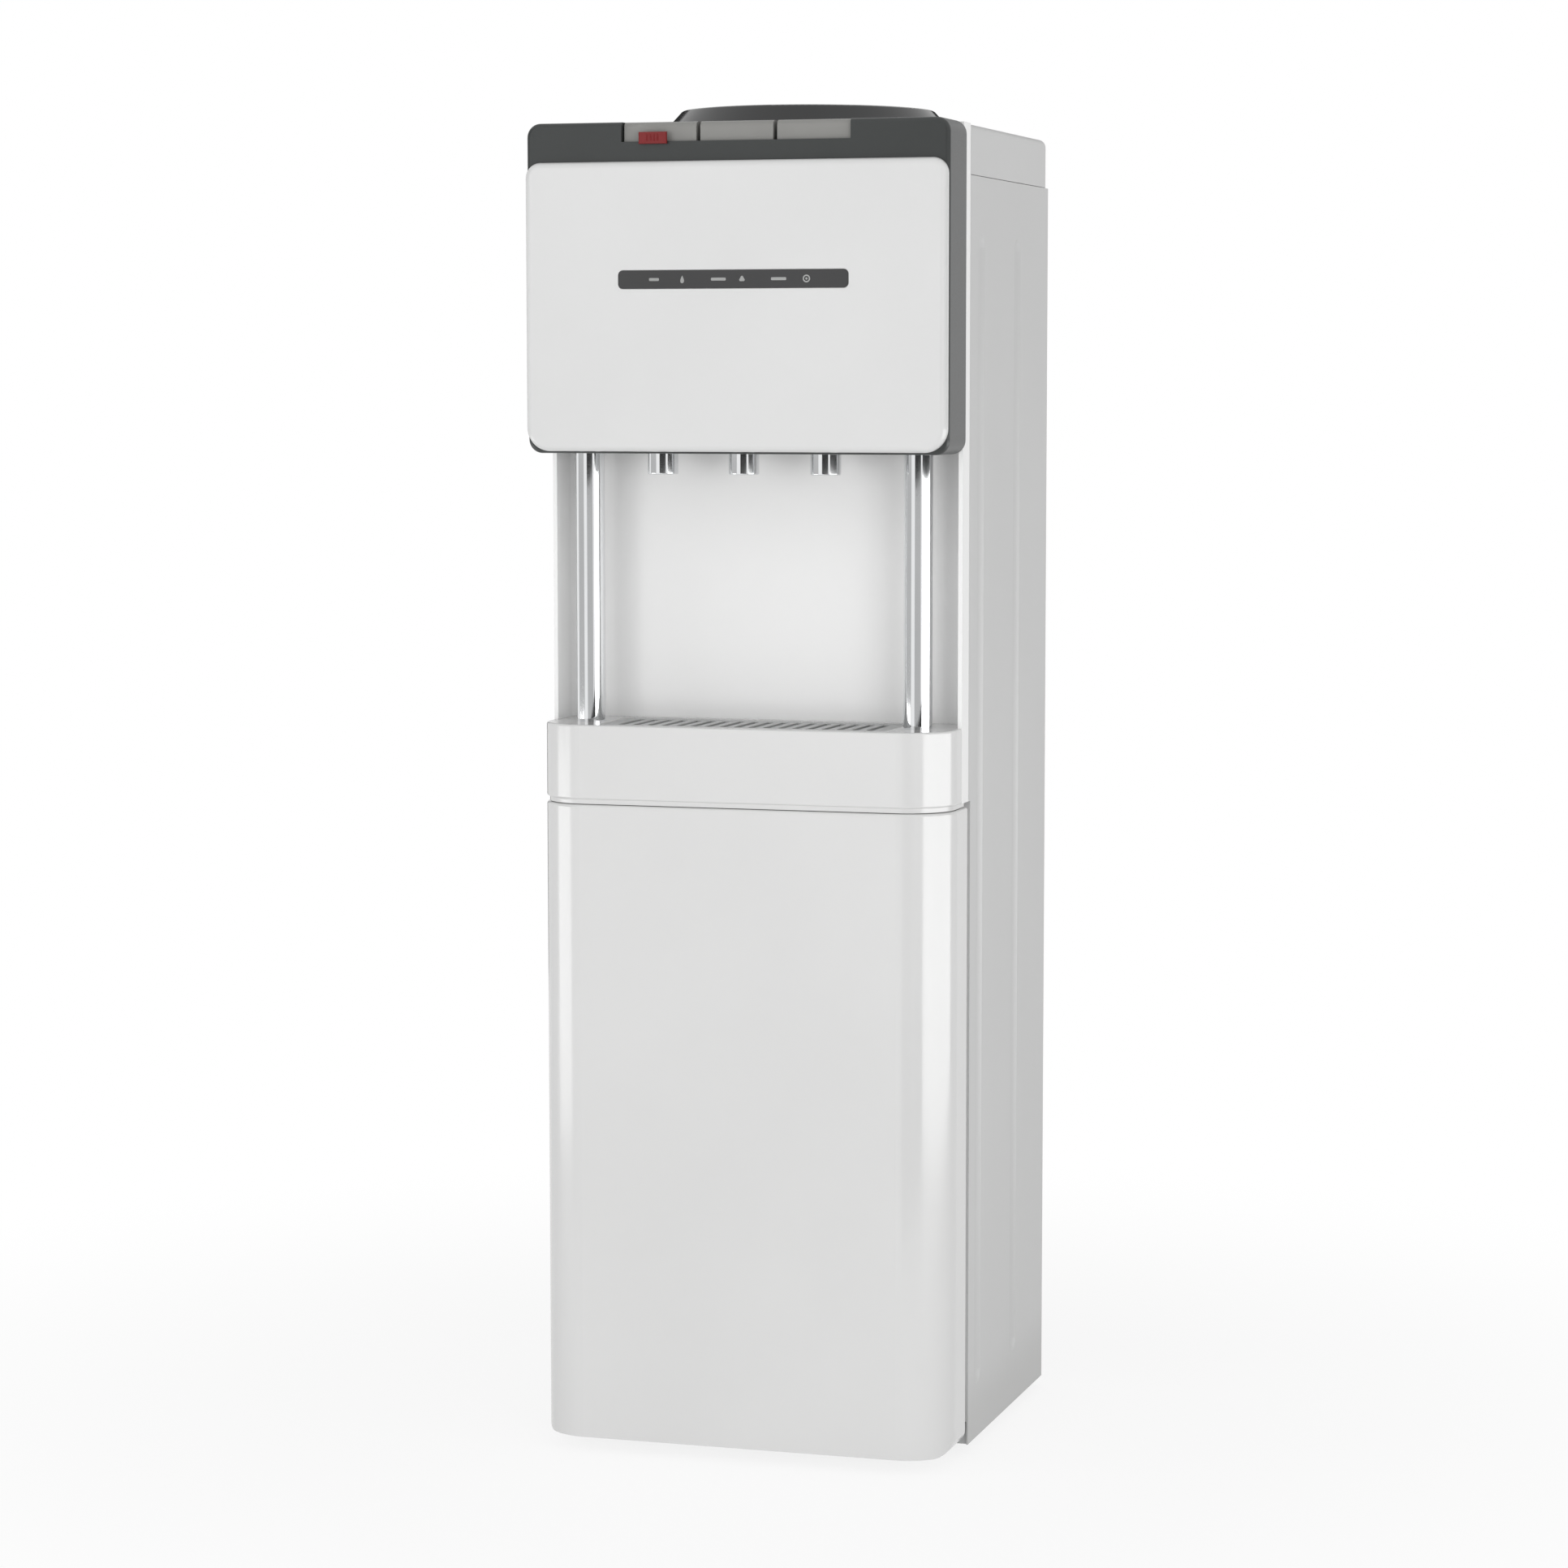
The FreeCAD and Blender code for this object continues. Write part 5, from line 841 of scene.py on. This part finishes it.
# Head panel
# A flat white cover with raised gloss, snapped over the front of the shell.
PANEL_WHITE = (0.70, 0.702, 0.70)
dress(finish("panel_gloss_white", polished(PANEL_WHITE, 0.14), {"IOR": 1.5}), "front_panel")

# Indicator strip and its marks
# A smoked acrylic strip covers three small lights on a board. Beside each light a short dash is
# printed in pale grey, and each light shows through its own plain mark: drop, triangle and ring.
STRIP_SMOKE = (0.038, 0.038, 0.039)
MARK_GREY = (0.36, 0.365, 0.36)
LENS_CLEAR = (0.85, 0.85, 0.82)
BOARD_GREEN = (0.02, 0.10, 0.04)
BOARD_TRACE = (0.05, 0.19, 0.075)
STRIP_FACE = -0.153
MARK_RISE = 0.00012
MARK_ROOT = 0.0002
MARK_TAPER = ((1.0, 0.6), (0.94, 1.0))
MARK_LEVEL = 0.8555
DASHES = ((-0.0585, 0.0074), (-0.0104, 0.0110), (0.0342, 0.0112))
DASH_HEIGHT = 0.0021
DASH_ROUND = 0.0007
LIGHTS = (-0.0374, 0.0071, 0.0547)
DROP_SIZE = (0.0019, 0.0027)
TRIANGLE_REACH = 0.0013
TRIANGLE_ROUND = 0.0009
RING_RADII = (0.0027, 0.0018)
DOT_RADIUS = 0.0008


def print_pad(flat, x, z):
    """A flat mark that stands a hair proud of the strip: its outline at three depths, the last
    one a little smaller."""
    layers = [stood_up(flat + (x, z), STRIP_FACE + MARK_ROOT)]
    for scale, rise in MARK_TAPER:
        layers.append(stood_up(scale * flat + (x, z), STRIP_FACE - MARK_RISE * rise))
    return grid(np.array(layers))


def ring_pad(x, z, outer, inner):
    """A flat ring: a square profile of the ring's width carried round a circle."""
    path = stood_up(circle((outer + inner) / 2, 40) + (x, z), STRIP_FACE)
    half = (outer - inner) / 2
    profile = np.array(
        [(-half, -MARK_RISE), (half, -MARK_RISE), (half, MARK_ROOT), (-half, MARK_ROOT)]
    )
    return carried(path, profile, (0, 1, 0), True)


turn = np.linspace(0, 2 * np.pi, 40, endpoint=False)
drop = np.stack([np.sin(turn) * np.sin(turn / 2) ** 1.3, np.cos(turn)], -1) * DROP_SIZE
corner_turn = np.radians(np.arange(3)[:, None] * 120 + np.linspace(-60, 60, 7)[None]).ravel()
corners = np.repeat(circle(TRIANGLE_REACH, 3), 7, 0) + TRIANGLE_ROUND * round_points(corner_turn)
triangle = corners[:, ::-1] * (-1, 1)
marks = []
for x, width in DASHES:
    marks.append(print_pad(rounded_outline(width, DASH_HEIGHT, DASH_ROUND, 5), x, MARK_LEVEL))
marks.append(print_pad(drop, LIGHTS[0], MARK_LEVEL))
marks.append(print_pad(triangle, LIGHTS[1], MARK_LEVEL))
marks.append(ring_pad(LIGHTS[2], MARK_LEVEL, *RING_RADII))
marks.append(print_pad(circle(DOT_RADIUS, 20), LIGHTS[2], MARK_LEVEL))


def soldered(place):
    trace = place.cells(230, "DISTANCE_TO_EDGE").step(0.05, 0.09)
    return {
        "Base Color": trace.blend(BOARD_TRACE, BOARD_GREEN),
        "Roughness": 0.32 + place.noise(400, 2) * 0.1,
        "Normal": trace.relief(0.00004),
    }


smoked = finish("smoked_acrylic", grained(STRIP_SMOKE, 0.08, 0.05, 0.000004), {"IOR": 1.49})
dress(smoked, "indicator_strip")
clear = {"Transmission Weight": 0.85, "IOR": 1.49}
dress(finish("clear_lens", grained(LENS_CLEAR, 0.05, 0.08, 0.00001), clear), "indicator_lenses")
dress(finish("green_board", soldered), "indicator_board")
mark_print = finish("mark_print", grained(MARK_GREY, 0.4, 0.1, 0.000004))
build("strip_marks", marks, mark_print, "cabinet", 30)

# Top cover
# A grey-white ABS lid with a round edge closes the head behind the shell.
COVER_WHITE = (0.56, 0.562, 0.56)
dress(finish("cover_grey_white", grained(COVER_WHITE, 0.3, 0.1, 0.00001, 900, 0.97)), "top_cover")

# Bottle seat
# A glossy dark funnel that the bottle's neck stands in, polished by the bottles on its shoulder.
SEAT_BLACK = (0.011, 0.0117, 0.0122)


def seat_gloss(place):
    swirl = place.noise(60, 4, 0.65)
    rub = place.noise(14, 2).step(0.45, 0.7)
    return {
        "Base Color": rub.blend(SEAT_BLACK, times(SEAT_BLACK, 1.35)),
        "Roughness": 0.09 + swirl * 0.1 + rub * 0.05,
        "Normal": place.noise(500, 1).relief(0.00001),
    }


dress(finish("seat_gloss_black", seat_gloss, {"IOR": 1.52}), "bottle_collar")

# Switches and thermostat knob
# Black bezel with a red rocker for heating and a green one for cooling, each with a printed dash
# and ring, and on the other side the cold thermostat's knob inside a printed scale of ticks.
BLACK_MOULD = (0.022, 0.022, 0.023)
ROCKER_RED = (0.44, 0.02, 0.016)
ROCKER_GREEN = (0.02, 0.24, 0.06)
PRINT_WHITE = (0.78, 0.78, 0.77)
PRINT_BLACK = (0.03, 0.03, 0.03)
KNOB_CENTRE = (-0.110, 0.897)
PANEL_BACK = 0.1222
TICKS = 11
TICK_START = -45
TICK_STEP = 27
LONG_EVERY = 5
TICK_RING = (0.0155, 0.0185)
TICK_SECTION = (0.0007, 0.0003, 0.0001)
SHORT_TICK = 0.55
black_mould = finish("black_mould", grained(BLACK_MOULD, 0.4, 0.2, 0.00003))
dress(black_mould, "switch_bezel", "thermostat_knob", "drain_cap", "cord_gland")
dress(finish("rocker_red_gloss", grained(ROCKER_RED, 0.2, 0.1, 0.00001)), "rocker_heating")
dress(finish("rocker_green_gloss", grained(ROCKER_GREEN, 0.2, 0.1, 0.00001)), "rocker_cooling")
print_black = finish("scale_print", grained(PRINT_BLACK, 0.45, 0.1, 0.000004))
ticks = []
for step in range(TICKS):
    angle = math.radians(TICK_START + TICK_STEP * step)
    length = 1.0 if step % LONG_EVERY == 0 else SHORT_TICK
    inner, outer = TICK_RING[0], TICK_RING[0] + (TICK_RING[1] - TICK_RING[0]) * length
    reach = np.linspace(inner, outer, 4)[:, None] * round_points(angle)
    path = stood_up(reach + KNOB_CENTRE, PANEL_BACK)
    ticks.append(carried(path, rounded_outline(*TICK_SECTION, 3), (0, 1, 0)))
build("knob_scale", ticks, print_black, "cabinet", 30)

# Marks of the rocker switches
# Each rocker has a dash on its upper half and a ring on its lower half, printed in white on the
# two faces that lean away from the dip in its middle.
ROCKER_PIN = (0.1237, 0.897)
ROCKER_DIP = 0.0022
ROCKER_RISE = 0.004
ROCKER_HALF = 0.01
ROCKER_LEAN = math.atan2(ROCKER_RISE - ROCKER_DIP, ROCKER_HALF)
ROCKER_TILT = math.radians(10)
ROCKER_MIDDLE = 0.0052
ROCKERS = (("rocker_heating", 0.099), ("rocker_cooling", 0.125))
ROCKER_DASH = (0.001, 0.0042, 0.0004)
ROCKER_RING = 0.0017
RING_SECTION = (0.0007, 2 * MARK_RISE, 0.00008)


def on_rocker(mark, x, side):
    """Lays a flat mark on one half of a rocker: along the leaning face from the dip, then turned
    about the pin by the rocker's tilt. The mark's points are across, along and out of the face."""
    flat, faces = mark
    along, out = flat[:, 1] + ROCKER_MIDDLE, flat[:, 2]
    y = ROCKER_DIP + along * math.sin(ROCKER_LEAN) + out * math.cos(ROCKER_LEAN)
    z = side * (along * math.cos(ROCKER_LEAN) - out * math.sin(ROCKER_LEAN))
    back = ROCKER_PIN[0] + y * math.cos(ROCKER_TILT) - z * math.sin(ROCKER_TILT)
    up = ROCKER_PIN[1] + y * math.sin(ROCKER_TILT) + z * math.cos(ROCKER_TILT)
    return np.column_stack([x + flat[:, 0], back, up]), faces


dash = rounded_outline(*ROCKER_DASH, 5)
layers = [np.column_stack([dash, np.full(len(dash), -MARK_ROOT)])]
for scale, rise in MARK_TAPER:
    layers.append(np.column_stack([scale * dash, np.full(len(dash), MARK_RISE * rise)]))
dash_pad = grid(np.array(layers))
ring_line = np.column_stack([circle(ROCKER_RING, 40), np.zeros(40)])
ring_mark = carried(ring_line, rounded_outline(*RING_SECTION, 3), (0, 0, 1), True)
print_white = finish("rocker_print", grained(PRINT_WHITE, 0.4, 0.1, 0.000004))
for body, x in ROCKERS:
    marks = [on_rocker(dash_pad, x, 1), on_rocker(ring_mark, x, -1)]
    build(body + "_marks", marks, print_white, body, 30)
